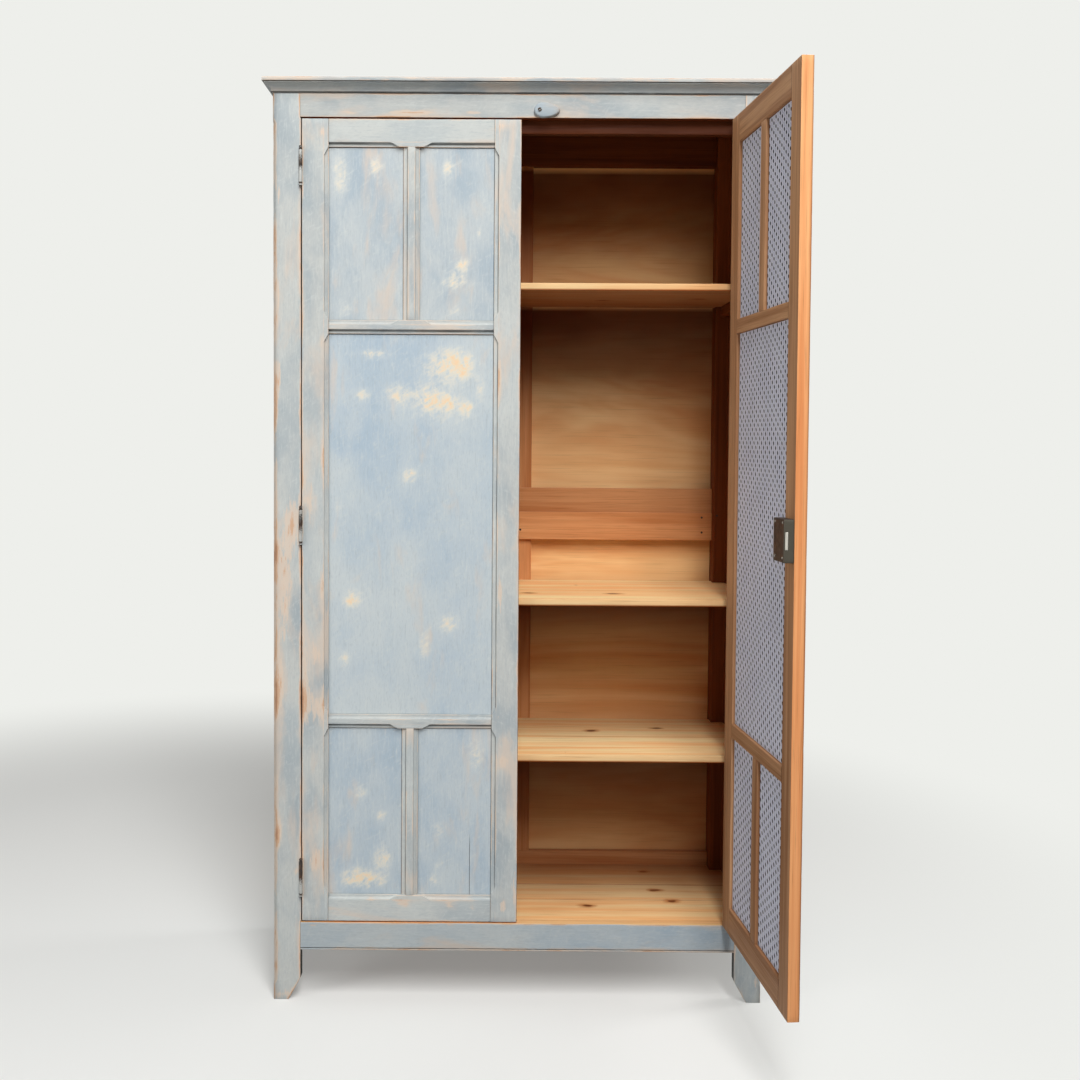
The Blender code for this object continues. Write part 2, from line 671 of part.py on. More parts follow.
class DoorFrame:
    """One door, modelled closed in the frame of its hinge axis. Across runs from the hinge edge."""

    def __init__(self, hand, hand_sign, holder):
        self.hand = hand
        self.inward = -hand_sign
        self.holder = holder
        self.stile_inner = STILE_WIDTH
        self.stile_outer = DOOR_WIDTH - STILE_WIDTH
        self.muntin_left = (DOOR_WIDTH - MUNTIN_WIDTH) / 2
        self.muntin_right = (DOOR_WIDTH + MUNTIN_WIDTH) / 2
        upper_high = DOOR_TOP - DOOR_TOP_RAIL_HEIGHT
        upper_low = upper_high - UPPER_PANEL_HEIGHT
        lower_low = DOOR_BOTTOM + DOOR_BOTTOM_RAIL_HEIGHT
        lower_high = lower_low + LOWER_PANEL_HEIGHT
        self.bays = {
            "upper": (upper_low, upper_high),
            "middle": (lower_high + CROSS_RAIL_HEIGHT, upper_low - CROSS_RAIL_HEIGHT),
            "lower": (lower_low, lower_high),
        }
        self.split_bays = ("upper", "lower")

    def x(self, across):
        """Place in X of a distance from the hinge edge."""
        return self.inward * (HINGE_GAP / 2 + across)

    def slab(self, across, ys, zs):
        """A box between two distances from the hinge edge."""
        return box((self.x(across[0]), self.x(across[1])), ys, zs)

    def thickness(self):
        """The door's front and back faces."""
        return (DOOR_FACE, DOOR_INSIDE)

    def groove_depths(self):
        """Front and back of the groove that holds the panels and tongues."""
        return (PANEL_FRONT - CLEARANCE, PANEL_BACK + CLEARANCE)

    def upright_moulding(self, across, into, bay, stopped):
        """A moulding up one side of a bay, on a stile or a muntin."""
        low, high = self.bays[bay]
        edge = Vector((self.x(across), DOOR_FACE, 0.0))
        direction = X_AXIS * self.inward * into
        return moulding_run(edge, direction, Z_AXIS, low, high, stopped, stopped)

    def level_moulding(self, height, into, span, stops):
        """A moulding along a rail between two distances from the hinge edge."""
        edge = Vector((0.0, DOOR_FACE, height))
        along = X_AXIS * self.inward
        start, end = [HINGE_GAP / 2 + across for across in span]
        return moulding_run(edge, Z_AXIS * into, along, start, end, *stops)

    def stile(self, name, across, inner_edge, into):
        """A stile grooved down its inner edge, its mouldings stopped at each rail."""
        zs = (DOOR_BOTTOM, DOOR_TOP)
        stile = piece(
            f"{self.hand}_door_{name}", self.slab(across, self.thickness(), zs), PAINT, self.holder
        )
        groove = (inner_edge - into * OVERCUT, inner_edge + into * GROOVE_DEPTH)
        beyond = (zs[0] - OVERCUT, zs[1] + OVERCUT)
        cut(stile, self.slab(groove, self.groove_depths(), beyond))
        for bay in self.bays:
            cut(stile, self.upright_moulding(inner_edge, into, bay, True))
        return stile

    def rail(self, name, zs, bay_above=None, bay_below=None):
        """A rail with tongues into both stiles, grooved and moulded towards each bay."""
        left = self.stile_inner + CLEARANCE
        right = self.stile_outer - CLEARANCE
        rail = piece(
            f"{self.hand}_door_{name}",
            self.slab((left, right), self.thickness(), zs),
            PAINT,
            self.holder,
        )
        tongue_low = zs[0] + TONGUE_INSET + (GROOVE_DEPTH if bay_below else 0.0)
        tongue_high = zs[1] - TONGUE_INSET - (GROOVE_DEPTH if bay_above else 0.0)
        reach = GROOVE_DEPTH - CLEARANCE
        for end, outward in ((self.stile_inner, -1), (self.stile_outer, 1)):
            tongue = (end - outward * GROOVE_DEPTH, end + outward * reach)
            join(rail, self.slab(tongue, (PANEL_FRONT, PANEL_BACK), (tongue_low, tongue_high)))
        for bay, height, into in ((bay_above, zs[1], -1), (bay_below, zs[0], 1)):
            if bay:
                self.work_rail_edge(rail, bay, height, into)
        return rail

    def work_rail_edge(self, rail, bay, height, into):
        """Groove one edge of a rail and mould it, stopping the moulding round a muntin."""
        groove_z = (height - into * OVERCUT, height + into * GROOVE_DEPTH)
        beyond = (self.stile_inner - 2 * GROOVE_DEPTH, self.stile_outer + 2 * GROOVE_DEPTH)
        cut(rail, self.slab(beyond, self.groove_depths(), groove_z))
        ends = (self.stile_inner, self.stile_outer)
        if bay not in self.split_bays:
            cut(rail, self.level_moulding(height, into, ends, (False, False)))
            return
        before = (ends[0], self.muntin_left - MUNTIN_MARGIN)
        after = (self.muntin_right + MUNTIN_MARGIN, ends[1])
        cut(
            rail,
            self.level_moulding(height, into, before, (False, True)),
            self.level_moulding(height, into, after, (True, False)),
        )

    def muntin(self, bay):
        """An upright between two rails, grooved and moulded on both edges, with a tongue at each end."""
        low, high = self.bays[bay]
        left, right = self.muntin_left, self.muntin_right
        muntin = piece(
            f"{self.hand}_door_{bay}_muntin",
            self.slab((left, right), self.thickness(), (low + CLEARANCE, high - CLEARANCE)),
            PAINT,
            self.holder,
        )
        tongue = (left + GROOVE_DEPTH + TONGUE_INSET, right - GROOVE_DEPTH - TONGUE_INSET)
        reach = GROOVE_DEPTH - CLEARANCE
        tongue_y = (PANEL_FRONT, PANEL_BACK)
        join(
            muntin,
            self.slab(tongue, tongue_y, (low - reach, low + GROOVE_DEPTH)),
            self.slab(tongue, tongue_y, (high - GROOVE_DEPTH, high + reach)),
        )
        beyond = (low - GROOVE_DEPTH, high + GROOVE_DEPTH)
        for edge, into in ((left, 1), (right, -1)):
            groove = (edge - into * OVERCUT, edge + into * GROOVE_DEPTH)
            cut(
                muntin,
                self.slab(groove, self.groove_depths(), beyond),
                self.upright_moulding(edge, into, bay, False),
            )

    def panel(self, name, across, bay):
        """A flat panel whose edges stand in the grooves round it."""
        low, high = self.bays[bay]
        grip = GROOVE_DEPTH - PANEL_PLAY
        piece(
            f"{self.hand}_door_{name}",
            self.slab(
                (across[0] - grip, across[1] + grip),
                (PANEL_FRONT, PANEL_BACK),
                (low - grip, high + grip),
            ),
            PAINT,
            self.holder,
        )

    def build(self):
        """Make the frame and its panels, and return the stile at the free edge."""
        self.stile("hinge_stile", (0.0, STILE_WIDTH), self.stile_inner, -1)
        free = self.stile("meeting_stile", (self.stile_outer, DOOR_WIDTH), self.stile_outer, 1)
        upper, middle, lower = (self.bays[bay] for bay in ("upper", "middle", "lower"))
        self.rail("top_rail", (upper[1], DOOR_TOP), bay_below="upper")
        self.rail("upper_cross_rail", (middle[1], upper[0]), bay_above="upper", bay_below="middle")
        self.rail("lower_cross_rail", (lower[1], middle[0]), bay_above="middle", bay_below="lower")
        self.rail("bottom_rail", (DOOR_BOTTOM, lower[0]), bay_above="lower")
        for bay in self.split_bays:
            self.muntin(bay)
            self.panel(f"{bay}_hinge_panel", (self.stile_inner, self.muntin_left), bay)
            self.panel(f"{bay}_free_panel", (self.muntin_right, self.stile_outer), bay)
        self.panel("middle_panel", (self.stile_inner, self.stile_outer), "middle")
        return free


def keyhole(door):
    """A round hole with a slot below it, right through the stile into the lock."""
    centre = door.x(DOOR_WIDTH - KEYHOLE_SETBACK)
    height = LOCK_CENTRE_HEIGHT - KEYHOLE_DROP
    half_slot = KEYHOLE_SLOT / 2
    opening = math.asin(half_slot / KEYHOLE_RADIUS)
    outline = []
    for step in range(TURN_STEPS + 1):
        angle = -math.pi / 2 + opening + (2 * math.pi - 2 * opening) * step / TURN_STEPS
        x = centre + KEYHOLE_RADIUS * math.cos(angle)
        outline.append(Vector((x, DOOR_FACE - OVERCUT, height + KEYHOLE_RADIUS * math.sin(angle))))
    foot = height + KEYHOLE_RADIUS - KEYHOLE_LENGTH
    outline.append(Vector((centre - half_slot, DOOR_FACE - OVERCUT, foot)))
    outline.append(Vector((centre + half_slot, DOOR_FACE - OVERCUT, foot)))
    return prism(outline, Y_AXIS, DOOR_THICKNESS + 2 * OVERCUT)


def build_lock(door):
    """A rim lock on the inside of the free stile, flush with its edge, and the bolt in its case."""
    low = LOCK_CENTRE_HEIGHT - LOCK_HEIGHT / 2
    high = LOCK_CENTRE_HEIGHT + LOCK_HEIGHT / 2
    case = piece(
        "lock_case",
        door.slab((DOOR_WIDTH - LOCK_WIDTH, DOOR_WIDTH), (LOCK_BACK, LOCK_COVER), (low, high)),
        LOCK_IRON,
        door.holder,
    )
    bolt_back = LOCK_COVER - BOLT_COVER_WALL
    bolt_front = bolt_back - BOLT_THICKNESS
    half_bolt = BOLT_HEIGHT / 2
    cut(
        case,
        door.slab(
            (DOOR_WIDTH - BOLT_LENGTH - CLEARANCE, DOOR_WIDTH + OVERCUT),
            (bolt_front - CLEARANCE, bolt_back + CLEARANCE),
            (LOCK_CENTRE_HEIGHT - half_bolt - CLEARANCE, LOCK_CENTRE_HEIGHT + half_bolt + CLEARANCE),
        ),
    )
    place = (door.x(DOOR_WIDTH - BOLT_LENGTH / 2), (bolt_front + bolt_back) / 2, LOCK_CENTRE_HEIGHT)
    half_length = BOLT_LENGTH / 2
    half_thickness = BOLT_THICKNESS / 2
    bolt = box((-half_length, half_length), (-half_thickness, half_thickness), (-half_bolt, half_bolt))
    piece("lock_bolt", bolt, BOLT_STEEL, door.holder, place)


def build_doors(root):
    """Both doors on their hinge axes: the left one shut, the right one standing open."""
    for hand, sign, turn in (("left", -1, 0.0), ("right", 1, OPEN_ANGLE)):
        holder = empty(f"{hand}_door_axis", (sign * HINGE_X, -AXIS_PROUD, 0.0), root, turn)
        door = DoorFrame(hand, sign, holder)
        free_stile = door.build()
        for level in HINGE_HEIGHTS:
            build_hinge(hand, level, sign, root, holder)
        if hand == "right":
            cut(free_stile, keyhole(door))
            build_lock(door)


def main():
    """Build the cupboard."""
    root = empty("cupboard_origin", (0.0, FRONT_FACE_Y, 0.0))
    build_posts(root)
    build_cornice(root)
    build_front_rails(root)
    build_sides(root)
    build_back(root)
    build_boards(root)
    build_turn_button(root)
    build_doors(root)
    for obj in PARTS.objects:
        if obj.type == "MESH":
            obj.data.shade_smooth()
            obj.data.set_sharp_from_angle(angle=math.radians(30))


main()
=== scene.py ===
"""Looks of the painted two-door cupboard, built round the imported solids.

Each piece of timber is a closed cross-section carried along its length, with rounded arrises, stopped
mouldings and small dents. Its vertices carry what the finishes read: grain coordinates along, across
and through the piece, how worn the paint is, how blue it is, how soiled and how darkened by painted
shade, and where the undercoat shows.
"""

import json
import logging
import math
from dataclasses import dataclass, field, replace
from enum import Enum
from typing import Any, Optional, Sequence

import bpy
import numpy as np
from mathutils import Matrix, Vector


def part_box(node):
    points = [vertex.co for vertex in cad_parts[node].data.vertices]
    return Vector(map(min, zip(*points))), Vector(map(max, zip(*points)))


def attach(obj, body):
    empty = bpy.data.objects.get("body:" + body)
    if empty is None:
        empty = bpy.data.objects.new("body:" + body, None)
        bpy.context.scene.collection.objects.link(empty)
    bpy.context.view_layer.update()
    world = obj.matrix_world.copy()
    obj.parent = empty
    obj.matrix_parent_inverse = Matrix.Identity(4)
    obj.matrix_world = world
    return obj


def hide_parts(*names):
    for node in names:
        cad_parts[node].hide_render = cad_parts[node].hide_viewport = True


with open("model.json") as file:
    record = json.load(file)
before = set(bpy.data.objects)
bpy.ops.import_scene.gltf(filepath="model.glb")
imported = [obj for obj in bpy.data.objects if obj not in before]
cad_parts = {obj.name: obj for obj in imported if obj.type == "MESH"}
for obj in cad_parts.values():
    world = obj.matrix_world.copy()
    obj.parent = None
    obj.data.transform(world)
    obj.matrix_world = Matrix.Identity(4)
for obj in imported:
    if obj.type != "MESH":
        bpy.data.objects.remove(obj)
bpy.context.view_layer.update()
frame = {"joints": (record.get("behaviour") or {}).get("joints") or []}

LOG = logging.getLogger("cupboard")
Array = np.ndarray
Material = bpy.types.Material
Node = bpy.types.Node
Socket = bpy.types.NodeSocket
Pair = tuple[float, float]
Triple = tuple[float, float, float]
Colour = tuple[float, float, float, float]
Fed = Socket | float | Colour

MM = 0.001
CLEARANCE = 0.3 * MM
HAIR = 0.05 * MM
CREASE = math.radians(40.0)


class Slot(Enum):
    """The record's material slots."""

    PAINTED = "painted_wood"
    BARE = "bare_wood"
    SHELF = "shelf_wood"
    BACK = "back_wood"
    HINGE = "hinge_iron"
    LOCK = "lock_iron"
    BOLT = "bolt_steel"


class Side(Enum):
    """Which finish of a piece a strip of its surface takes."""

    PAINT = 0
    BARE = 1
    EDGE = 2


class Hand(Enum):
    """The two doors."""

    LEFT = "left"
    RIGHT = "right"


ALL_PAINT = (Side.PAINT,) * 4
ALL_BARE = (Side.BARE,) * 4


def srgb(red: float, green: float, blue: float) -> Colour:
    """A colour given in 0 to 255 display values, made linear.

    Args:
        red: display value, 0 to 255.
        green: likewise.
        blue: likewise.

    Returns:
        Linear red, green and blue, and an alpha of one.
    """
    scaled = [channel / 255 for channel in (red, green, blue)]
    linear = [((v + 0.055) / 1.055) ** 2.4 if v > 0.04045 else v / 12.92 for v in scaled]
    return (linear[0], linear[1], linear[2], 1.0)


def wander(x: Array, seed: float) -> Array:
    """Smooth noise between about -1 and 1: four sines of unrelated pitch and seeded phase.

    Args:
        x: places at which the noise is read, one unit being about one bump.
        seed: shifts the phases.

    Returns:
        An array shaped as x.
    """
    pitches = np.array([1.0, 1.83, 3.07, 5.41])
    shares = np.array([0.42, 0.27, 0.19, 0.12])
    phases = np.sin(seed * np.array([12.9898, 78.233, 37.719, 4.581])) * 43758.5453
    waves = np.sin(np.asarray(x, float)[..., None] * pitches * math.pi + phases % (2 * math.pi))
    return (waves * shares).sum(-1)


def stacked(*parts: float | Array) -> Array:
    """Arrays spread to one shape and stacked as the coordinates of points."""
    return np.stack(np.broadcast_arrays(*parts), axis=-1)


def extent(node: str, axis: str) -> Pair:
    """The low and the high end of a CAD node along one axis."""
    low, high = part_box(node)
    return getattr(low, axis), getattr(high, axis)


def joint(name: str) -> dict:
    """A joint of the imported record."""
    return next(j for j in frame["joints"] if j["name"] == name)


class Graph:
    """The nodes of one material or world, wired with few words."""

    def __init__(self, owner: bpy.types.Material | bpy.types.World) -> None:
        """Open the owner's node tree.

        Args:
            owner: material or world to work on.
        """
        owner.use_nodes = True
        self.owner = owner
        self.tree = owner.node_tree

    def node(self, kind: str, settings: Optional[dict] = None, inputs: Optional[dict] = None) -> Node:
        """A node with its settings, and its inputs linked or set.

        Args:
            kind: the node's type.
            settings: properties of the node.
            inputs: values or sockets by input name or index.

        Returns:
            The node.
        """
        made = self.tree.nodes.new(kind)
        for key, value in (settings or {}).items():
            setattr(made, key, value)
        for key, value in (inputs or {}).items():
            self.feed(made.inputs[key], value)
        return made

    def feed(self, socket: Socket, value: Fed) -> None:
        """Link a socket to an input, or set the input's own value.

        Args:
            socket: the input.
            value: what it gets.
        """
        if isinstance(value, bpy.types.NodeSocket):
            self.tree.links.new(value, socket)
        else:
            socket.default_value = value

    def attribute(self, name: str, output: str = "Fac") -> Socket:
        """What the piece's vertices carry under a name."""
        return self.node("ShaderNodeAttribute", {"attribute_name": name}).outputs[output]

    def grain(self, scale: Triple, shift: float = 0.0, turn: float = 0.0) -> Socket:
        """The piece's grain coordinates, turned, then times a scale for along, across and depth.

        Args:
            scale: along, across and depth.
            shift: added to all three.
            turn: angle about the third axis, in radians.

        Returns:
            The coordinates.
        """
        source = self.attribute("grain", "Vector")
        if turn:
            turned_by = {"Vector": source, "Rotation": (0.0, 0.0, turn)}
            source = self.node("ShaderNodeMapping", {}, turned_by).outputs["Vector"]
        offset = {"Vector": source, "Scale": scale, "Location": (shift,) * 3}
        return self.node("ShaderNodeMapping", {}, offset).outputs["Vector"]

    def noise(self, vector: Socket, detail: float, roughness: float, distortion: float = 0.0) -> Socket:
        """Cloud noise on a vector that is already scaled.

        Args:
            vector: scaled coordinates.
            detail: octaves.
            roughness: share of each finer octave.
            distortion: how far the pattern is pulled about.

        Returns:
            The noise, 0 to 1.
        """
        inputs = {"Vector": vector, "Scale": 1.0, "Detail": detail, "Roughness": roughness}
        inputs["Distortion"] = distortion
        return self.node("ShaderNodeTexNoise", {}, inputs).outputs["Fac"]

    def math(self, operation: str, first: Fed, second: Fed = 0.0) -> Socket:
        """One sum."""
        return self.node("ShaderNodeMath", {"operation": operation}, {0: first, 1: second}).outputs[0]

    def add(self, first: Fed, second: Fed) -> Socket:
        """The sum of two values."""
        return self.math("ADD", first, second)

    def less(self, first: Fed, second: Fed) -> Socket:
        """The first value less the second."""
        return self.math("SUBTRACT", first, second)

    def times(self, first: Fed, second: Fed) -> Socket:
        """The product of two values."""
        return self.math("MULTIPLY", first, second)

    def over(self, first: Fed, second: Fed) -> Socket:
        """The first value divided by the second."""
        return self.math("DIVIDE", first, second)

    def smooth(
        self, value: Socket, low: float, high: float, to_low: float = 0.0, to_high: float = 1.0
    ) -> Socket:
        """A soft step from one value to another as the input goes from low to high.

        Args:
            value: the input.
            low: where the step starts.
            high: where it ends.
            to_low: result up to low.
            to_high: result from high on.

        Returns:
            The stepped value.
        """
        inputs = {"Value": value, "From Min": low, "From Max": high, "To Min": to_low, "To Max": to_high}
        settings = {"interpolation_type": "SMOOTHSTEP"}
        return self.node("ShaderNodeMapRange", settings, inputs).outputs["Result"]

    def mix(self, share: Fed, first: Fed, second: Fed) -> Socket:
        """A colour between two colours."""
        inputs = {0: share, 6: first, 7: second}
        return self.node("ShaderNodeMix", {"data_type": "RGBA"}, inputs).outputs[2]

    def layers(self, colour: Fed, *layers: tuple) -> Fed:
        """Lay colours over a colour one by one.

        Args:
            colour: the ground.
            layers: each a value, its low and high, the cover at these two, and the colour laid on.

        Returns:
            The covered colour.
        """
        for value, low, high, at_low, at_high, laid in layers:
            colour = self.mix(self.smooth(value, low, high, at_low, at_high), colour, laid)
        return colour

    def bump(self, height: Socket, strength: float, distance: float) -> Socket:
        """A bumped normal."""
        inputs = {"Height": height, "Strength": strength, "Distance": distance}
        return self.node("ShaderNodeBump", {}, inputs).outputs["Normal"]

    def seen(self) -> Socket:
        """One for rays from the camera, reflections and glass, else zero.

        Returns:
            That share.
        """
        path = self.node("ShaderNodeLightPath").outputs
        either = self.math("MAXIMUM", path["Is Camera Ray"], path["Is Glossy Ray"])
        return self.math("MAXIMUM", either, path["Is Transmission Ray"])

    def blend(self, share: Fed, first: Node, second: Node, out: Node) -> None:
        """Mix two shaders into an output node."""
        inputs = {"Fac": share, 1: first.outputs[0], 2: second.outputs[0]}
        self.feed(out.inputs["Surface"], self.node("ShaderNodeMixShader", {}, inputs).outputs[0])

    def finish(
        self, colour: Fed, roughness: Fed, normal: Socket, sheen: float = 0.15, metallic: float = 0.0
    ) -> Material:
        """Feed the shader and give the material.

        Args:
            colour: base colour.
            roughness: 0 to 1.
            normal: from a bump.
            sheen: specular level.
            metallic: 0 to 1.

        Returns:
            The finished material.
        """
        inputs = {"Base Color": colour, "Roughness": roughness, "Normal": normal}
        inputs |= {"Specular IOR Level": sheen, "Metallic": metallic}
        for name, value in inputs.items():
            self.feed(self.tree.nodes["Principled BSDF"].inputs[name], value)
        return self.owner


@dataclass(frozen=True)
class ChalkPaint:
    """Old brushed paint over a cream undercoat, rubbed through to the wood at the arrises."""

    name: str = "chalk_paint"
    frame: Colour = srgb(193, 195, 191)
    frame_dark: Colour = srgb(164, 173, 177)
    panel: Colour = srgb(187, 198, 204)
    panel_dark: Colour = srgb(170, 187, 200)
    pale: Colour = srgb(207, 211, 207)
    peach: Colour = srgb(213, 197, 181)
    milk: Colour = srgb(219, 220, 213)
    cream: Colour = srgb(234, 220, 194)
    glow: Colour = srgb(238, 205, 164)
    bone: Colour = srgb(219, 200, 181)
    ochre: Colour = srgb(207, 164, 130)
    timber: Colour = srgb(176, 128, 96)
    dirt: Colour = srgb(26, 24, 22)

    def material(self) -> Material:
        """Soft clouds of two tints, faint brush marks, then undercoat and wood where worn, and near black for
        soiling and for painted shade.

        Returns:
            The paint.
        """
        g = Graph(bpy.data.materials.new(self.name))
        brush = g.noise(g.grain((26.0, 240.0, 240.0)), 4.0, 0.6)
        cross = g.noise(g.grain((150.0, 42.0, 42.0), 2.2, 0.55), 3.0, 0.6)
        cloud = g.noise(g.grain((8.0, 13.0, 13.0), 7.7), 3.0, 0.55, 0.3)
        drift = g.noise(g.grain((2.6, 4.2, 4.2), 1.4), 3.0, 0.5)
        wash = g.noise(g.grain((5.0, 15.0, 15.0), 11.3), 4.0, 0.6, 0.4)
        fleck = g.noise(g.grain((110.0, 420.0, 420.0), 3.7), 2.0, 0.6)
        scratch = g.noise(g.grain((60.0, 75.0, 75.0), 1.9), 5.0, 0.65, 0.4)
        ragged = g.noise(g.grain((24.0, 150.0, 150.0), 5.3), 8.0, 0.74)
        tone, worn = g.attribute("tone"), g.attribute("wear")
        tint = g.less(g.add(wash, g.times(worn, 0.22)), g.times(tone, 0.06))
        uneven = g.add(g.times(scratch, 2.6), g.times(cross, 1.4))
        blotch = g.times(g.math("POWER", g.attribute("blotch"), 0.72), g.less(uneven, 1.10))
        wear = g.add(worn, g.times(g.less(ragged, 0.5), 1.5))
        under = g.smooth(wear, 0.40, 0.57, 0.0, 0.76)
        through = g.smooth(wear, 1.00, 1.18, 0.0, 0.75)
        light = g.mix(tone, self.frame, self.panel)
        dark = g.mix(tone, self.frame_dark, self.panel_dark)
        colour = g.layers(
            dark,
            (cloud, 0.30, 0.66, 0.0, 1.0, light),
            (drift, 0.48, 0.68, 0.0, 0.45, self.pale),
            (brush, 0.52, 0.72, 0.0, 0.40, self.pale),
            (brush, 0.28, 0.46, 0.36, 0.0, self.frame_dark),
            (cross, 0.54, 0.74, 0.0, 0.32, self.pale),
            (fleck, 0.26, 0.48, 0.34, 0.0, self.frame_dark),
            (fleck, 0.54, 0.74, 0.0, 0.34, self.pale),
            (tint, 0.50, 0.70, 0.0, 0.75, self.peach),
            (blotch, 0.02, 0.70, 0.0, 0.50, self.milk),
            (blotch, 0.25, 1.05, 0.0, 0.80, self.cream),
            (blotch, 0.65, 1.30, 0.0, 0.85, self.glow),
        )
        rubbed = g.smooth(wear, 0.68, 0.86, 0.0, 0.80)
        # Near black where grime is carried: soiling, and painted shade in quirks, gaps and under the cornice.
        grime = g.times(g.attribute("grime"), g.smooth(ragged, 0.30, 0.52, 0.72, 1.0))
        shown = ((under, self.bone), (rubbed, self.ochre), (through, self.timber), (grime, self.dirt))
        for share, laid in shown:
            colour = g.mix(share, colour, laid)
        chips = g.less(brush, g.add(g.times(under, 0.3), through))
        return g.finish(colour, g.smooth(cloud, 0.3, 0.7, 0.52, 0.66), g.bump(chips, 0.30, 0.5 * MM))


@dataclass(frozen=True)
class Timber:
    """Bare wood with growth bands, fibres and, where it is pine, knots."""

    name: str
    light: Colour
    dark: Colour
    deep: Colour
    band: float
    knots: float = 0.0
    figure: float = 0.6
    streak: float = 0.45
    knot_size: float = 0.062
    ring: Colour = srgb(196, 122, 62)
    heart: Colour = srgb(88, 44, 18)
    roughness: Pair = (0.50, 0.68)

    def material(self) -> Material:
        """Bands are noise drawn out along the grain; fibres are finer noise.

        Returns:
            The wood.
        """
        g = Graph(bpy.data.materials.new(self.name))
        sway = g.noise(g.grain((1.7, 9.0, 9.0), 2.3), 2.0, 0.5)
        growth = g.noise(g.grain((1.1, self.band, self.band)), 3.0, 0.6, self.figure)
        fibre = g.noise(g.grain((9.0, 520.0, 520.0), 4.1), 4.0, 0.6)
        cloud = g.noise(g.grain((3.0, 6.0, 6.0), 9.1), 3.0, 0.5)
        bands = g.add(g.times(growth, 0.72), g.times(sway, 0.28))
        colour = g.layers(
            self.light,
            (bands, 0.36, 0.66, 0.0, 1.0, self.dark),
            (fibre, 0.50, 0.78, 0.0, self.streak, self.deep),
            (cloud, 0.45, 0.75, 0.0, 0.35, self.dark),
        )
        if self.knots > 0.0:
            colour = self.add_knots(g, colour)
        # Towards the deep colour by grime: soiling, and painted shade inside the cupboard, under the boards
        # and on the door stop.
        grime = g.times(g.attribute("grime"), g.smooth(cloud, 0.3, 0.6, 0.88, 1.0))
        rough = g.smooth(fibre, 0.35, 0.65, *self.roughness)
        return g.finish(g.mix(grime, colour, self.deep), rough, g.bump(fibre, 0.22, 0.5 * MM))

    def add_knots(self, g: Graph, colour: Fed) -> Fed:
        """Dark hearts with a paler ring: distance to scattered points, longer along the grain.

        Args:
            g: the wood's graph.
            colour: the wood without knots.

        Returns:
            The colour with knots.
        """
        sway = g.noise(g.grain((18.0, 40.0, 0.0), 8.3), 2.0, 0.6)
        swayed = {0: sway, 1: (0.16, 0.10, 0.0), 2: g.grain((5.6, 9.0, 0.0), 0.37)}
        place = g.node("ShaderNodeVectorMath", {"operation": "MULTIPLY_ADD"}, swayed).outputs["Vector"]
        flat = {"feature": "F1", "voronoi_dimensions": "2D"}
        cell = g.node("ShaderNodeTexVoronoi", flat, {"Vector": place, "Scale": 1.0}).outputs
        chance = g.node("ShaderNodeSeparateColor", {}, {0: cell["Color"]}).outputs[0]
        size = g.smooth(chance, 1.0 - self.knots, 1.0 - 0.4 * self.knots, 0.0, self.knot_size)
        ragged = g.noise(g.grain((60.0, 160.0, 160.0), 6.1), 4.0, 0.6)
        reach = g.times(size, g.add(g.times(ragged, 0.9), 0.55))
        depth = g.over(cell["Distance"], g.add(reach, 0.0001))
        ring, heart = (depth, 1.1, 2.4, 0.70, 0.0, self.ring), (depth, 0.55, 1.25, 0.95, 0.0, self.heart)
        return g.layers(colour, ring, heart)


@dataclass(frozen=True)
class LiningPaper:
    """Pale printed lining with small dark dashes, each row half a step across from the last."""

    name: str = "panel_lining"
    ground: Colour = srgb(222, 222, 235)
    light: Colour = srgb(250, 250, 252)
    shade: Colour = srgb(176, 178, 200)
    ink: Colour = srgb(18, 20, 46)
    pitch_across: float = 25.0 * MM
    pitch_up: float = 8.3 * MM
    dash_wide: float = 0.140
    dash_tall: float = 0.46
    slant: float = 0.10

    def material(self) -> Material:
        """The dash is a soft ellipse in each cell of a brick layout, on a faintly woven ground.

        Returns:
            The printed lining.
        """
        g = Graph(bpy.data.materials.new(self.name))
        parts = g.node("ShaderNodeSeparateXYZ", {}, {0: g.attribute("grain", "Vector")}).outputs
        row = g.over(parts[0], self.pitch_up)
        shift = g.times(g.math("FLOOR", row), 0.5)
        column = g.add(g.over(parts[1], self.pitch_across), shift)
        wobble = g.noise(g.grain((190.0, 120.0, 0.0)), 3.0, 0.6)
        upward = g.less(g.math("FRACT", row), 0.5)
        across = g.add(g.less(g.math("FRACT", column), 0.5), g.times(upward, self.slant))
        wide, tall = g.over(across, self.dash_wide), g.over(upward, self.dash_tall)
        round_it = g.add(g.times(wide, wide), g.times(tall, tall))
        inside = g.add(round_it, g.times(wobble, 0.9))
        dash = g.smooth(inside, 0.95, 1.75, 1.0, 0.0)
        halo = g.times(g.smooth(inside, 1.6, 2.3), g.smooth(inside, 2.6, 5.5, 0.75, 0.0))
        weave = g.noise(g.grain((900.0, 320.0, 0.0), 2.0), 2.0, 0.5)
        cloud = g.noise(g.grain((14.0, 14.0, 0.0), 5.0), 3.0, 0.5)
        woven, clouded = (weave, 0.35, 0.65, 0.0, 0.6, self.shade), (cloud, 0.4, 0.7, 0.0, 0.30, self.shade)
        ground = g.layers(self.ground, woven, clouded)
        colour = g.mix(dash, g.mix(halo, ground, self.light), self.ink)
        return g.finish(colour, 0.85, g.bump(weave, 0.25, 0.3 * MM))


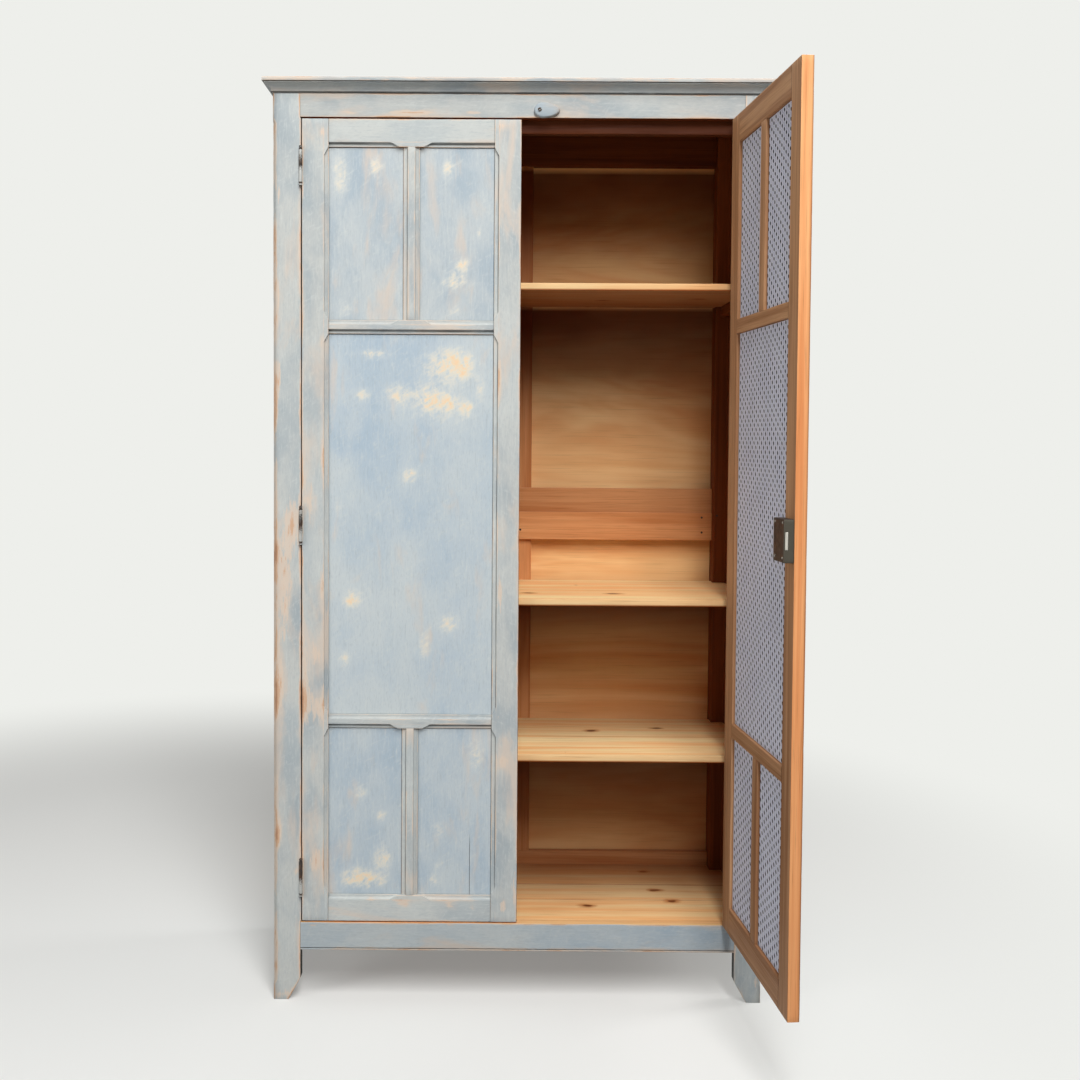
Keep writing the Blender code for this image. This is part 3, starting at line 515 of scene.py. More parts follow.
@dataclass(frozen=True)
class OldIron:
    """Aged iron, from dark and rusty to greyed with paint by the piece's tone."""

    name: str
    dark: Colour
    rust: Colour
    grey: Colour
    metallic: float
    roughness: Pair = (0.42, 0.70)
    sheen: float = 0.5

    def material(self) -> Material:
        """Rust in clouds over dark iron, with a worn grey film.

        Returns:
            The iron.
        """
        g = Graph(bpy.data.materials.new(self.name))
        cloud = g.noise(g.grain((70.0, 70.0, 70.0)), 5.0, 0.62)
        pits = g.noise(g.grain((420.0, 420.0, 420.0), 3.0), 3.0, 0.6)
        film = g.add(g.attribute("tone"), g.times(g.less(pits, 0.5), 0.9))
        rusty, filmed = (cloud, 0.42, 0.64, 0.0, 1.0, self.rust), (film, 0.35, 0.70, 0.0, 1.0, self.grey)
        colour = g.layers(self.dark, rusty, filmed)
        rough = g.smooth(cloud, 0.3, 0.7, *self.roughness)
        return g.finish(colour, rough, g.bump(pits, 0.3, 0.4 * MM), self.sheen, self.metallic)


class Palette:
    """Every finish of the cupboard, each made once."""

    def __init__(self) -> None:
        """Make the paint and the lining, then the woods and the irons from their colours."""
        self.paint = ChalkPaint().material()
        self.lining = LiningPaper().material()
        inside = srgb(210, 162, 120), srgb(164, 116, 80), srgb(92, 60, 36)
        edge = srgb(250, 184, 126), srgb(228, 146, 90), srgb(112, 60, 30)
        pine = srgb(255, 226, 170), srgb(252, 190, 126), srgb(150, 80, 34)
        # The back wood's deep colour also serves as the colour of its painted shade under the boards.
        back = srgb(255, 212, 152), srgb(232, 164, 104), srgb(92, 33, 1)
        inner = srgb(228, 164, 110), srgb(200, 128, 76), srgb(100, 40, 6)
        # The shade-dark wood stands in for shade: it goes on the door stop, the back's top rail and the
        # carcass's bare inner faces.
        shade_dark = srgb(124, 60, 22), srgb(96, 42, 12), srgb(44, 15, 2)
        hinge = srgb(44, 39, 36), srgb(84, 60, 44), srgb(178, 179, 175)
        lock = srgb(46, 35, 28), srgb(62, 44, 33), srgb(70, 65, 54)
        bolt = srgb(150, 146, 138), srgb(128, 116, 98), srgb(206, 202, 192)
        self.door_wood = Timber("door_inside_wood", *inside, band=60.0).material()
        self.edge_wood = Timber("door_edge_wood", *edge, band=70.0).material()
        self.pine = Timber("shelf_pine", *pine, band=30.0, knots=0.60).material()
        self.back_wood = Timber("back_panel_wood", *back, band=6.0, figure=1.6, streak=0.20).material()
        self.frame_wood = Timber("inner_frame_wood", *inner, band=40.0, figure=0.9).material()
        self.dark_wood = Timber("smoked_frame_wood", *shade_dark, band=40.0, figure=0.9).material()
        self.hinge_iron = OldIron("hinge_iron", *hinge, metallic=0.20).material()
        self.lock_iron = OldIron("lock_iron", *lock, metallic=0.30).material()
        self.steel = OldIron("bolt_steel", *bolt, metallic=0.85, roughness=(0.28, 0.45)).material()
        self.door_set = [self.paint, self.door_wood, self.edge_wood]
        self.carcass_set = [self.paint, self.dark_wood, self.dark_wood]


@dataclass
class Surface:
    """Vertices and faces, with what the finishes read at each vertex."""

    points: Array
    quads: Array
    slots: Array
    grain: Array
    wear: Array
    caps: list[Array]
    cap_slot: int = 0
    tone: float | Array = 0.0
    blotch: float | Array = 0.0
    grime: float | Array = 0.0

    def carried(self, key: str) -> Array:
        """One number per vertex."""
        return np.broadcast_to(np.asarray(getattr(self, key), float), (len(self.points),))

    def volume(self) -> float:
        """Signed volume: the sum over triangles of a corner dotted with the others' cross product, / 6.

        Returns:
            Cubic metres, below zero where the faces point inwards.
        """
        p = self.points - self.points.mean(0)
        fans = [self.quads[:, [0, 1, 2]], self.quads[:, [0, 2, 3]]]
        fans += [stacked(cap[0], cap[1:-1], cap[2:]) for cap in self.caps]
        tris = np.concatenate(fans)
        return float((p[tris[:, 0]] * np.cross(p[tris[:, 1]], p[tris[:, 2]])).sum() / 6)

    def turn_outward(self) -> None:
        """Turn the faces to point out."""
        if self.volume() < 0:
            self.quads = self.quads[:, ::-1]
            self.caps = [cap[::-1] for cap in self.caps]


@dataclass(frozen=True)
class Place:
    """Where a piece drawn on the closed left half stands: a turn or mirror, then a shift."""

    matrix: tuple = ((1.0, 0.0, 0.0), (0.0, 1.0, 0.0), (0.0, 0.0, 1.0))
    shift: Triple = (0.0, 0.0, 0.0)

    def of(self, points: Array) -> Array:
        """Points of the drawing, moved to where they stand."""
        return points @ np.array(self.matrix).T + np.array(self.shift)


HERE = Place()
MIRRORED = Place(((-1.0, 0.0, 0.0), (0.0, 1.0, 0.0), (0.0, 0.0, 1.0)))


def across_place(joint_name: str) -> Place:
    """The place of the open door: the closed left door mirrored, then turned about its own pin.

    Args:
        joint_name: the hinge whose lower limit is the closed door.

    Returns:
        Mirror and turn as one matrix, with its shift.
    """
    hinge = joint(joint_name)
    turn = np.array(Matrix.Rotation(math.radians(-hinge["range_deg"][0]), 3, "Z"))
    pin = np.array([hinge["pos_m"][0], hinge["pos_m"][1], 0.0])
    return Place(tuple(map(tuple, turn @ np.diag([-1.0, 1.0, 1.0]))), tuple(pin - turn @ pin))


def grid_surface(
    grid: Array, strips: Array | int, grain: Array, wear: Array, place: Place = HERE, **carried: Any
) -> Surface:
    """A closed surface from rows of a closed outline: quads between rows, and a cap at each end.

    Args:
        grid: points by row and place round the outline.
        strips: finish slot of each strip along the rows.
        grain: grain coordinates of the points.
        wear: how worn the points are.
        place: where the drawing stands.
        carried: what else the surface carries.

    Returns:
        The surface at its place.
    """
    count, ring = grid.shape[:2]
    index = np.arange(count * ring).reshape(count, ring)
    following = np.roll(index, -1, 1)
    quads = stacked(index[:-1], following[:-1], following[1:], index[1:]).reshape(-1, 4)
    slots = np.broadcast_to(strips, (count - 1, ring)).reshape(-1)
    points = place.of(grid.reshape(-1, 3))
    caps = [index[0], index[-1][::-1]]
    return Surface(points, quads, slots, grain.reshape(-1, 3), wear.reshape(-1), caps, **carried)


def dressed_mesh(name: str, surfaces: Sequence[Surface], finishes: Sequence[Material]) -> bpy.types.Mesh:
    """One mesh of all the surfaces, with their finishes and what these read at each vertex.

    Args:
        name: the mesh's name.
        surfaces: closed surfaces.
        finishes: materials by slot number.

    Returns:
        The mesh, smooth but for its creases.
    """
    starts = np.cumsum([0] + [len(s.points) for s in surfaces])
    faces: list[list[int]] = []
    slots: list[Array] = []
    for start, surface in zip(starts, surfaces):
        surface.turn_outward()
        faces += (surface.quads + start).tolist() + [(cap + start).tolist() for cap in surface.caps]
        slots += [surface.slots, np.full(len(surface.caps), surface.cap_slot)]
    mesh = bpy.data.meshes.new(name)
    mesh.from_pydata(np.concatenate([s.points for s in surfaces]).tolist(), [], faces)
    for finish in finishes:
        mesh.materials.append(finish)
    mesh.polygons.foreach_set("material_index", np.concatenate(slots).astype(np.int32))
    grain = np.concatenate([s.grain for s in surfaces]).astype(np.float32).ravel()
    mesh.attributes.new("grain", "FLOAT_VECTOR", "POINT").data.foreach_set("vector", grain)
    # grime carries soiling and painted shade alike.
    for key in ("wear", "tone", "blotch", "grime"):
        values = np.concatenate([s.carried(key) for s in surfaces]).astype(np.float32)
        mesh.attributes.new(key, "FLOAT", "POINT").data.foreach_set("value", values)
    mesh.shade_smooth()
    mesh.set_sharp_from_angle(angle=CREASE)
    mesh.update()
    return mesh


def placed(name: str, data: bpy.types.ID) -> bpy.types.Object:
    """An object in the scene, at the origin.

    Args:
        name: the object's name.
        data: its mesh, lamp or camera.

    Returns:
        The new object.
    """
    obj = bpy.data.objects.new(name, data)
    bpy.context.scene.collection.objects.link(obj)
    return obj


def carve(obj: bpy.types.Object, hole: Surface) -> None:
    """Take a closed surface's space out of an object.

    Args:
        obj: the object, which gets a new mesh.
        hole: what is taken out.
    """
    tool = placed(f"{obj.name}_hole", dressed_mesh(f"{obj.name}_hole", [hole], list(obj.data.materials)))
    cut = obj.modifiers.new("hole", "BOOLEAN")
    cut.operation, cut.solver, cut.object = "DIFFERENCE", "EXACT", tool
    evaluated = obj.evaluated_get(bpy.context.evaluated_depsgraph_get())
    carved = bpy.data.meshes.new_from_object(evaluated)
    obj.modifiers.clear()
    whole, obj.data = obj.data, carved
    carved.set_sharp_from_angle(angle=CREASE)
    bpy.data.objects.remove(tool)
    bpy.data.meshes.remove(whole)


def add_piece(
    name: str,
    surfaces: Sequence[Surface],
    finishes: Sequence[Material],
    body: str,
    slot: Optional[Slot],
    *nodes: str,
    hole: Optional[Surface] = None,
) -> None:
    """Put surfaces into one object at the origin, dress it and tie it to its body.

    Args:
        name: the piece's name.
        surfaces: closed surfaces that make up the piece.
        finishes: materials by slot number.
        body: the CAD body that it moves with.
        slot: the record's material slot, if one fits; not used.
        nodes: CAD nodes that it stands for.
        hole: a closed surface to cut out.
    """
    obj = placed(name, dressed_mesh(name, surfaces, finishes))
    if hole is not None:
        carve(obj, hole)
    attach(obj, body)
    if nodes:
        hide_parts(*nodes)
    LOG.info("%s: %d faces on %s", name, len(obj.data.polygons), body)


ARRIS_FADE = 3.2 * MM
NEAR_ARRIS = (2.0 * MM, 4.5 * MM, 8.0 * MM)
NEAR_SIGHT_LINE = (2.0 * MM, 6.8 * MM, 7.8 * MM, 8.8 * MM, 10.5 * MM, 14.0 * MM)
NEAR_JOINT = (0.8 * MM, 1.6 * MM, 3.0 * MM)


@dataclass(frozen=True)
class Corner:
    """A corner of a cross-section, and the finish of the side that starts at it."""

    across: float
    depth: float
    side: Side = Side.PAINT
    radius: float = 1.3 * MM
    keen: float = 1.0
    grime: float = 0.0


@dataclass
class Section:
    """A closed cross-section as points, with arris closeness, the finish of each strip, and soiling with
    painted shade.
    """

    points: Array
    edge: Array
    slots: Array
    grime: Array
    shares: list[Array]


def side_shares(length: float, pitch: float, close: Sequence[float]) -> Array:
    """Where to put points along a side: close to both arrises and at a pitch between them.

    Args:
        length: the side's length.
        pitch: spacing between the outermost points.
        close: distances from the arrises.

    Returns:
        Shares of the length.
    """
    if length < 5 * MM:
        return np.zeros(0)
    if length < 16 * MM:
        return np.array([0.25, 0.5, 0.75])
    near = np.array(close) / length
    near = near[near < 0.45]
    between = max(int(length / pitch), 1)
    middle = np.linspace(near[-1], 1 - near[-1], between + 1)[1:-1]
    return np.unique(np.concatenate([near, middle, 1 - near]))


def fading(share: Array, run: float, start: float, end: float, reach: float) -> Array:
    """A value that falls off along a side from what it is at both ends."""
    return np.maximum(start * np.exp(-share * run / reach), end * np.exp(-(1 - share) * run / reach))


def section(
    corners: Sequence[Corner],
    pitch: float = 12.0 * MM,
    like: Optional[Section] = None,
    close: Sequence[float] = NEAR_ARRIS,
) -> Section:
    """Round each corner by a quadratic curve between points on its two sides, and fill the sides.

    Args:
        corners: the outline's corners in order.
        pitch: spacing of points along long sides.
        like: a section whose layout of points is taken over.
        close: distances from the arrises that get points of their own.

    Returns:
        The closed outline.
    """
    place = np.array([(c.across, c.depth) for c in corners])
    ahead = np.roll(place, -1, 0) - place
    length = np.maximum(np.linalg.norm(ahead, axis=1), 1e-9)
    unit = ahead / length[:, None]
    room = 0.42 * np.minimum(length, np.roll(length, 1))
    radius = np.minimum(np.array([c.radius for c in corners]), room)[:, None]
    enter = place - np.roll(unit, 1, 0) * radius
    leave = place + unit * radius
    parts, shares = [], []
    for i, corner in enumerate(corners):
        after = corners[(i + 1) % len(corners)]
        arc = np.array([enter[i], 0.25 * enter[i] + 0.5 * place[i] + 0.25 * leave[i], leave[i]])
        span = np.roll(enter, -1, 0)[i] - leave[i]
        run = float(np.linalg.norm(span))
        share = like.shares[i] if like else side_shares(run, pitch, close)
        edge = fading(share, run, corner.keen, after.keen, ARRIS_FADE)
        grime = fading(share, run, corner.grime, after.grime, MM)
        slots = np.full(3 + len(share), corner.side.value)
        slots[0] = corners[i - 1].side.value
        parts.append(
            (
                np.concatenate([arc, leave[i] + share[:, None] * span]),
                np.concatenate([np.full(3, corner.keen), edge]),
                slots,
                np.concatenate([np.full(3, corner.grime), grime]),
            )
        )
        shares.append(share)
    return Section(*(np.concatenate(column) for column in zip(*parts)), shares)


def rectangle(across: Pair, depth: Pair, sides: tuple, radius: float = 1.3 * MM) -> list[Corner]:
    """Corners of a plain section: front, far edge, back and near edge in turn."""
    places = ((across[0], depth[0]), (across[1], depth[0]), (across[1], depth[1]), (across[0], depth[1]))
    return [Corner(a, d, side, radius) for (a, d), side in zip(places, sides)]


@dataclass
class Rows:
    """Stations along a bar, with the share of a moulding there and the slant of the row."""

    station: Array
    weight: Array
    slant: Array

    def with_ends(self, near: Sequence[float]) -> "Rows":
        """The same rows with more of them at given distances from both ends.

        Args:
            near: distances from each end.

        Returns:
            The fuller rows.
        """
        reach = np.array(near)
        more = np.concatenate([self.station[0] + reach, self.station[-1] - reach])
        place = np.sort(np.concatenate([self.station, more]))
        order = np.argsort(self.station)
        known = self.station[order]
        return Rows(place, *(np.interp(place, known, old[order]) for old in (self.weight, self.slant)))


def plain_rows(start: float, end: float, pitch: float, *extra: float) -> Rows:
    """Even rows from start to end, with extra stations where the shape changes.

    Args:
        start: first station.
        end: last station.
        pitch: distance between rows, about.
        extra: stations to add.

    Returns:
        Rows with no weight and no slant.
    """
    count = max(int(abs(end - start) / pitch), 2)
    station = np.unique(np.concatenate([np.linspace(start, end, count + 1), np.array(extra, float)]))
    return Rows(station, np.zeros(len(station)), np.zeros(len(station)))


@dataclass(frozen=True)
class Run:
    """A moulding's run along a bar, and whether it is stopped at each end."""

    low: float
    high: float
    stop_low: bool = True
    stop_high: bool = True


def moulded_rows(start: float, end: float, pitch: float, runs: Sequence[Run], runout: float) -> Rows:
    """Rows for a bar with mouldings: plain between the runs, slanting at each stop, full within.

    At a stop the rows lean: a point at width w from the sight edge moves on by w times the slant, and
    within a few millimetres the section goes from plain to moulded.

    Args:
        start: the bar's first station.
        end: its last station.
        pitch: spacing of the even rows.
        runs: the moulding's runs, in order.
        runout: how far a stop slants over the moulding's width.

    Returns:
        Stations, moulding shares and slants.
    """
    ease = np.array([0.0, 0.5, 1.1, 1.8, 2.6]) * MM
    share = np.array([0.0, 0.22, 0.62, 0.92, 1.0])
    before, beyond, least = 2 * MM, runout + 4 * MM, 0.5 * MM
    parts: list[tuple[Array, Array, Array]] = []

    def level(low: float, high: float, amount: float) -> None:
        """Even rows of one share between two stations.

        Args:
            low: first station.
            high: last station.
            amount: the share.
        """
        if high - low >= least:
            count = max(int((high - low) / pitch), 1) + 1
            parts.append((np.linspace(low, high, count), np.full(count, amount), np.zeros(count)))

    place = start
    for run in runs:
        if run.stop_low:
            level(place, run.low - before, 0.0)
            parts.append((run.low + ease, share, np.ones(len(ease))))
        level(run.low + beyond * run.stop_low, run.high - beyond * run.stop_high, 1.0)
        if run.stop_high:
            parts.append(((run.high - ease)[::-1], share[::-1], -np.ones(len(ease))))
        place = run.high + before
    if runs[-1].stop_high:
        level(place, end, 0.0)
    return Rows(*(np.concatenate(column) for column in zip(*parts)))


@dataclass(frozen=True)
class Spot:
    """A soft patch on the front, in the closed left half's coordinates."""

    x: float
    z: float
    wide: float
    tall: float
    strength: float


def spots(*rows: tuple[float, float, float, float, float]) -> tuple[Spot, ...]:
    """Spots from rows of x, z, half width, half height and strength."""
    return tuple(Spot(*row) for row in rows)


def patches(points: Array, marks: Sequence[Spot]) -> Array:
    """Sum over the spots of strength times a bell in x and z.

    Args:
        points: places, one in each row.
        marks: the spots.

    Returns:
        One sum for each point.
    """
    if not marks:
        return np.zeros(len(points))
    x, z, wide, tall, strength = np.array([(s.x, s.z, s.wide, s.tall, s.strength) for s in marks]).T
    across = (points[:, None, 0] - x) / wide
    upward = (points[:, None, 2] - z) / tall
    return (strength * np.exp(-(across**2) - upward**2)).sum(1)


RUBS = spots(
    (-0.473, 0.850, 0.018, 0.150, 0.70), (-0.455, 0.974, 0.012, 0.055, 0.72),
    (-0.483, 1.261, 0.004, 0.042, 0.69), (-0.482, 0.640, 0.009, 0.050, 0.72),
    (-0.484, 0.347, 0.006, 0.032, 0.69), (-0.484, 1.425, 0.003, 0.034, 0.64),
    (-0.483, 1.626, 0.003, 0.026, 0.59), (-0.450, 0.263, 0.007, 0.009, 0.64),
    (-0.456, 1.192, 0.007, 0.005, 0.54), (-0.466, 0.012, 0.040, 0.016, 0.54),
    (-0.432, 0.660, 0.008, 0.080, 0.50), (-0.411, 0.706, 0.016, 0.035, 0.52),
    (-0.404, 0.600, 0.015, 0.038, 0.60), (-0.425, 0.610, 0.012, 0.050, 0.36),
    (-0.409, 0.285, 0.015, 0.030, 0.70), (-0.421, 1.030, 0.016, 0.075, 0.50),
    (-0.398, 0.845, 0.005, 0.031, 0.60), (-0.397, 1.103, 0.005, 0.041, 0.50),
    (-0.397, 1.752, 0.007, 0.009, 0.60), (-0.398, 1.332, 0.004, 0.014, 0.50),
    (-0.038, 0.832, 0.005, 0.042, 0.65), (-0.030, 0.491, 0.012, 0.018, 0.80),
    (-0.041, 1.259, 0.005, 0.051, 0.55), (-0.030, 0.196, 0.009, 0.015, 0.80),
    (-0.039, 1.762, 0.014, 0.006, 0.55), (-0.008, 0.231, 0.003, 0.043, 0.55),
    (-0.040, 0.583, 0.003, 0.016, 0.55), (-0.014, 0.925, 0.005, 0.010, 0.60),
    (-0.233, 0.199, 0.013, 0.010, 0.80), (-0.138, 0.195, 0.014, 0.009, 0.60),
    (-0.092, 0.191, 0.008, 0.007, 0.55), (-0.298, 0.209, 0.010, 0.004, 0.45),
    (-0.133, 0.155, 0.020, 0.003, 0.45), (-0.415, 0.153, 0.015, 0.003, 0.50),
    (-0.217, 1.789, 0.055, 0.006, 0.80), (-0.346, 1.788, 0.018, 0.006, 0.55),
    (-0.093, 1.788, 0.022, 0.004, 0.55), (-0.321, 1.801, 0.014, 0.004, 0.45),
)
BLOTCHES = spots(
    (-0.165, 1.280, 0.075, 0.045, 0.22), (-0.165, 1.195, 0.095, 0.040, 0.18),
    (-0.138, 1.292, 0.036, 0.026, 0.95), (-0.116, 1.286, 0.016, 0.022, 0.60),
    (-0.244, 1.230, 0.030, 0.018, 0.60), (-0.184, 1.220, 0.018, 0.022, 0.90),
    (-0.146, 1.215, 0.020, 0.018, 0.85), (-0.108, 1.204, 0.012, 0.014, 0.85),
    (-0.317, 1.231, 0.014, 0.010, 0.75), (-0.296, 1.312, 0.030, 0.008, 0.65),
    (-0.080, 1.243, 0.008, 0.020, 0.55), (-0.224, 1.069, 0.013, 0.013, 0.95),
    (-0.337, 0.818, 0.018, 0.016, 1.00), (-0.140, 0.771, 0.022, 0.018, 0.60),
    (-0.191, 0.726, 0.010, 0.032, 0.50), (-0.354, 0.697, 0.009, 0.013, 0.80),
    (-0.365, 1.003, 0.005, 0.018, 0.45), (-0.321, 0.425, 0.010, 0.011, 0.75),
    (-0.278, 0.377, 0.009, 0.012, 0.65), (-0.325, 0.250, 0.032, 0.018, 0.95),
    (-0.275, 0.290, 0.016, 0.022, 0.80), (-0.290, 0.245, 0.030, 0.014, 0.50),
    (-0.086, 0.506, 0.016, 0.030, 0.50), (-0.169, 0.246, 0.010, 0.010, 0.50),
    (-0.158, 0.282, 0.008, 0.010, 0.45), (-0.160, 0.350, 0.012, 0.020, 0.40),
    (-0.362, 1.666, 0.014, 0.038, 0.60), (-0.292, 1.682, 0.012, 0.020, 0.65),
    (-0.352, 1.399, 0.014, 0.010, 0.45), (-0.119, 1.490, 0.013, 0.012, 0.85),
    (-0.132, 1.458, 0.026, 0.018, 0.60), (-0.147, 1.678, 0.011, 0.018, 0.70),
    (-0.134, 1.398, 0.009, 0.009, 0.55), (-0.085, 1.556, 0.004, 0.012, 0.40),
)

# How far below each board its painted shade reaches.
BOARD_SHADE_REACH = {"lower_shelf": 0.20, "middle_shelf": 0.11, "upper_shelf": 0.17, "door_stop": 0.27}


def painted_shade_under_boards(points: Array) -> Array:
    """How much painted shade from the board above darkens a place: a bell in the distance to that board.

    Args:
        points: places, one in each row.

    Returns:
        Share of painted shade at each, 0 to 1.
    """
    boards = np.array([extent(node, "z")[0] for node in BOARD_SHADE_REACH])
    below = boards - points[:, 2:3] + 2 * MM
    below = np.where(below > 0, below, np.inf)
    nearest = below.argmin(1)
    share = below / np.array(list(BOARD_SHADE_REACH.values()))
    return np.exp(-(share[np.arange(len(points)), nearest] ** 2))


@dataclass(frozen=True)
class Axes:
    """Where a bar's length, width and depth point in the drawing."""

    origin: Triple
    along: Triple
    across: Triple
    depth: Triple

    def of(self, along: Array, across: Array, depth: Array) -> Array:
        """Points of the drawing from three coordinates of the bar."""
        parts = ((along, self.along), (across, self.across), (depth, self.depth))
        return np.array(self.origin) + sum(value[..., None] * np.array(axis) for value, axis in parts)


def upright(x: float, y: float, to_right: float = 1.0) -> Axes:
    """A bar standing up, its width along X and its depth going back."""
    return Axes((x, y, 0.0), (0, 0, 1), (to_right, 0, 0), (0, 1, 0))


def level_bar(y: float, z: float) -> Axes:
    """A bar lying along X, its width going up and its depth going back."""
    return Axes((0.0, y, z), (1, 0, 0), (0, 0, 1), (0, 1, 0))


def side_bar(x: float) -> Axes:
    """A bar lying along Y on a side, its width going up and its depth going in along X."""
    return Axes((x, 0.0, 0.0), (0, 1, 0), (0, 0, 1), (1, 0, 0))


@dataclass
class Bar:
    """A section carried along its rows, with variants blended in row by row."""

    base: Section
    rows: Rows
    axes: Axes
    seed: float
    variants: Sequence[tuple[Section, Array]] = ()
    lean: float | Array = 0.0
    place: Place = HERE
    wear: float = 0.62
    bow: float = 0.25 * MM
    nick: float = 0.35 * MM
    end_round: float = 1.0 * MM
    tone: float = 0.0
    grime: float = 0.0
    rubs: Sequence[Spot] = ()
    blotches: Sequence[Spot] = ()
    cap_side: Side = Side.BARE
    # Strength of painted shade below the boards.
    patina: float = 0.0
    end_dirt: float = 0.0
    drawn: Array = field(init=False, repr=False)
    dirt: Array = field(init=False, repr=False)

    def surface(self) -> Surface:
        """The bar's closed surface; its points in the drawing and their soiling and painted shade stay with
        the bar.

        A row is the base outline plus each variant's difference times its share. A point's station is
        the row's plus its slant times the point's lean. The outline shrinks along its own normals over
        the last millimetre at both ends, and dents go in along the normals at the arrises.

        Returns:
            The surface, at its place.
        """
        base, seed = self.base, self.seed
        rows = base.points + np.zeros((len(self.rows.station), 1, 1))
        dirt = base.grime + np.zeros((len(self.rows.station), 1))
        for variant, weight in self.variants:
            rows = rows + weight[:, None, None] * (variant.points - base.points)
            dirt = dirt + weight[:, None] * (variant.grime - base.grime)
        dirt = np.concatenate([dirt[:1]] * 3 + [dirt[1:-1]] + [dirt[-1:]] * 3)
        lean = self.lean + np.zeros(len(base.points))
        station = self.rows.station[:, None] + self.rows.slant[:, None] * lean
        rows, station = self.rounded_ends(rows, station)
        dents = np.clip(wander(station * 31 + np.arange(rows.shape[1]) * 0.011, seed) - 0.42, 0, 1)
        rows = rows + self.inward(rows) * (self.nick * 2 * dents * base.edge**2)[..., None]
        rows[..., 0] += self.bow * wander(station * 2.3, seed + 1)
        rows[..., 1] += self.bow * 0.6 * wander(station * 3.1, seed + 2)
        grid = self.axes.of(station, rows[..., 0], rows[..., 1])
        self.drawn, self.dirt = grid.reshape(-1, 3), dirt.reshape(-1)
        rubbed = patches(self.drawn, self.rubs).reshape(station.shape)
        worn = base.edge * (self.wear + 0.42 * wander(station * 7.0, seed + 3)) + rubbed
        grain = stacked(station, rows[..., 0], rows[..., 1]) + np.array([3.7, 1.31, 0.71]) * seed
        to_end = np.minimum(station - station.min(), station.max() - station)
        grime = dirt * (0.75 + 0.25 * wander(station * 9, seed + 5)) + self.grime
        grime = (grime + self.end_dirt * np.exp(-to_end / (0.9 * MM))).reshape(-1)
        if self.patina:
            grime = grime + self.patina * painted_shade_under_boards(self.drawn)
        made = grid_surface(grid, base.slots, grain, worn, self.place, cap_slot=self.cap_side.value)
        made.tone, made.blotch, made.grime = self.tone, patches(self.drawn, self.blotches), grime
        return made

    def rounded_ends(self, rows: Array, station: Array) -> tuple[Array, Array]:
        """Add rows at both ends where the outline draws in by the end rounding.

        Args:
            rows: outlines along the bar.
            station: their places along it.

        Returns:
            Outlines and places with the ends drawn in.
        """
        reach = np.array([1.0, 0.29, 0.0]) * self.end_round
        step = np.array([0.0, 0.29, 1.0]) * self.end_round
        inward = self.inward(rows)
        first = rows[0] + inward[0] * reach[:, None, None]
        last = rows[-1] + inward[-1] * reach[::-1, None, None]
        low = station[0] + step[:, None]
        high = station[-1] - step[::-1, None]
        return np.concatenate([first, rows[1:-1], last]), np.concatenate([low, station[1:-1], high])

    def inward(self, rows: Array) -> Array:
        """Unit normals into the outline: the chord of the two neighbours, turned by a right angle.

        Args:
            rows: outlines along the bar.

        Returns:
            A normal for each corner of each outline.
        """
        chord = np.roll(rows, -1, 1) - np.roll(rows, 1, 1)
        x, y = rows[..., 0], rows[..., 1]
        area = (x * np.roll(y, -1, 1) - np.roll(x, -1, 1) * y).sum(1)
        normal = stacked(-chord[..., 1], chord[..., 0]) * np.sign(area)[:, None, None]
        return normal / np.maximum(np.linalg.norm(normal, axis=-1, keepdims=True), 1e-9)


# Soiling and painted shade at each step of a moulding, from the quirk to the fillet: heavy where the moulding
# faces down or away from the key lamp, light where it faces up or towards it.
DirtAndShade = tuple[float, ...]
DIRT_AND_SHADE_DOWN: DirtAndShade = (1.0, 0.45, 0.40, 1.0, 0.40, 0.0)
DIRT_AND_SHADE_UP: DirtAndShade = (0.35, 0.0, 0.0, 0.0, 0.0, 0.10)
DIRT_AND_SHADE_DARK_SIDE: DirtAndShade = (1.0, 0.85, 0.60, 0.10, 0.0, 0.0)
DIRT_AND_SHADE_LIT_SIDE: DirtAndShade = (0.30, 0.05, 0.0, 0.0, 0.0, 0.10)


@dataclass
class Moulding:
    """The stopped moulding's sizes, as widths from the sight edge and depths from the face."""

    width: float = 8.5 * MM
    quirk: float = 2.0 * MM
    depth: float = 5.2 * MM
    fillet: float = 2.5 * MM
    runout: float = 16.0 * MM

    def corners(self, edge: float, into: float, cut: bool, dirt: DirtAndShade) -> list[Corner]:
        """The arris at a sight edge, from the face round to the edge: plain, or moulded.

        The moulded outline drops a quirk at the full width, follows a quarter of an ellipse, and ends
        in a fillet at the sight edge. The plain one has the same points on the face.

        Args:
            edge: the sight edge's place across.
            into: the direction into the wood, 1 or -1.
            cut: whether the moulding is there.
            dirt: soiling and painted shade at each step, from the quirk to the fillet.

        Returns:
            Corners in order from the face to the edge.
        """
        angle = np.linspace(0, math.pi / 2, len(dirt))
        widths = self.fillet + (self.width - self.fillet) * np.cos(angle)
        depths = (self.quirk + (self.depth - self.quirk) * np.sin(angle)) * cut
        widths[0] -= 0.0 if cut else HAIR
        found = [Corner(edge + into * self.width, 0.0, radius=0.5 * MM, keen=0.75)]
        for width, depth, soil_and_shade in zip(widths, depths, dirt):
            found.append(Corner(edge + into * width, depth, radius=0.2 * MM, keen=0.15, grime=soil_and_shade * cut))
        return found + [Corner(edge, self.depth * cut, radius=0.6 * MM, keen=0.8)]


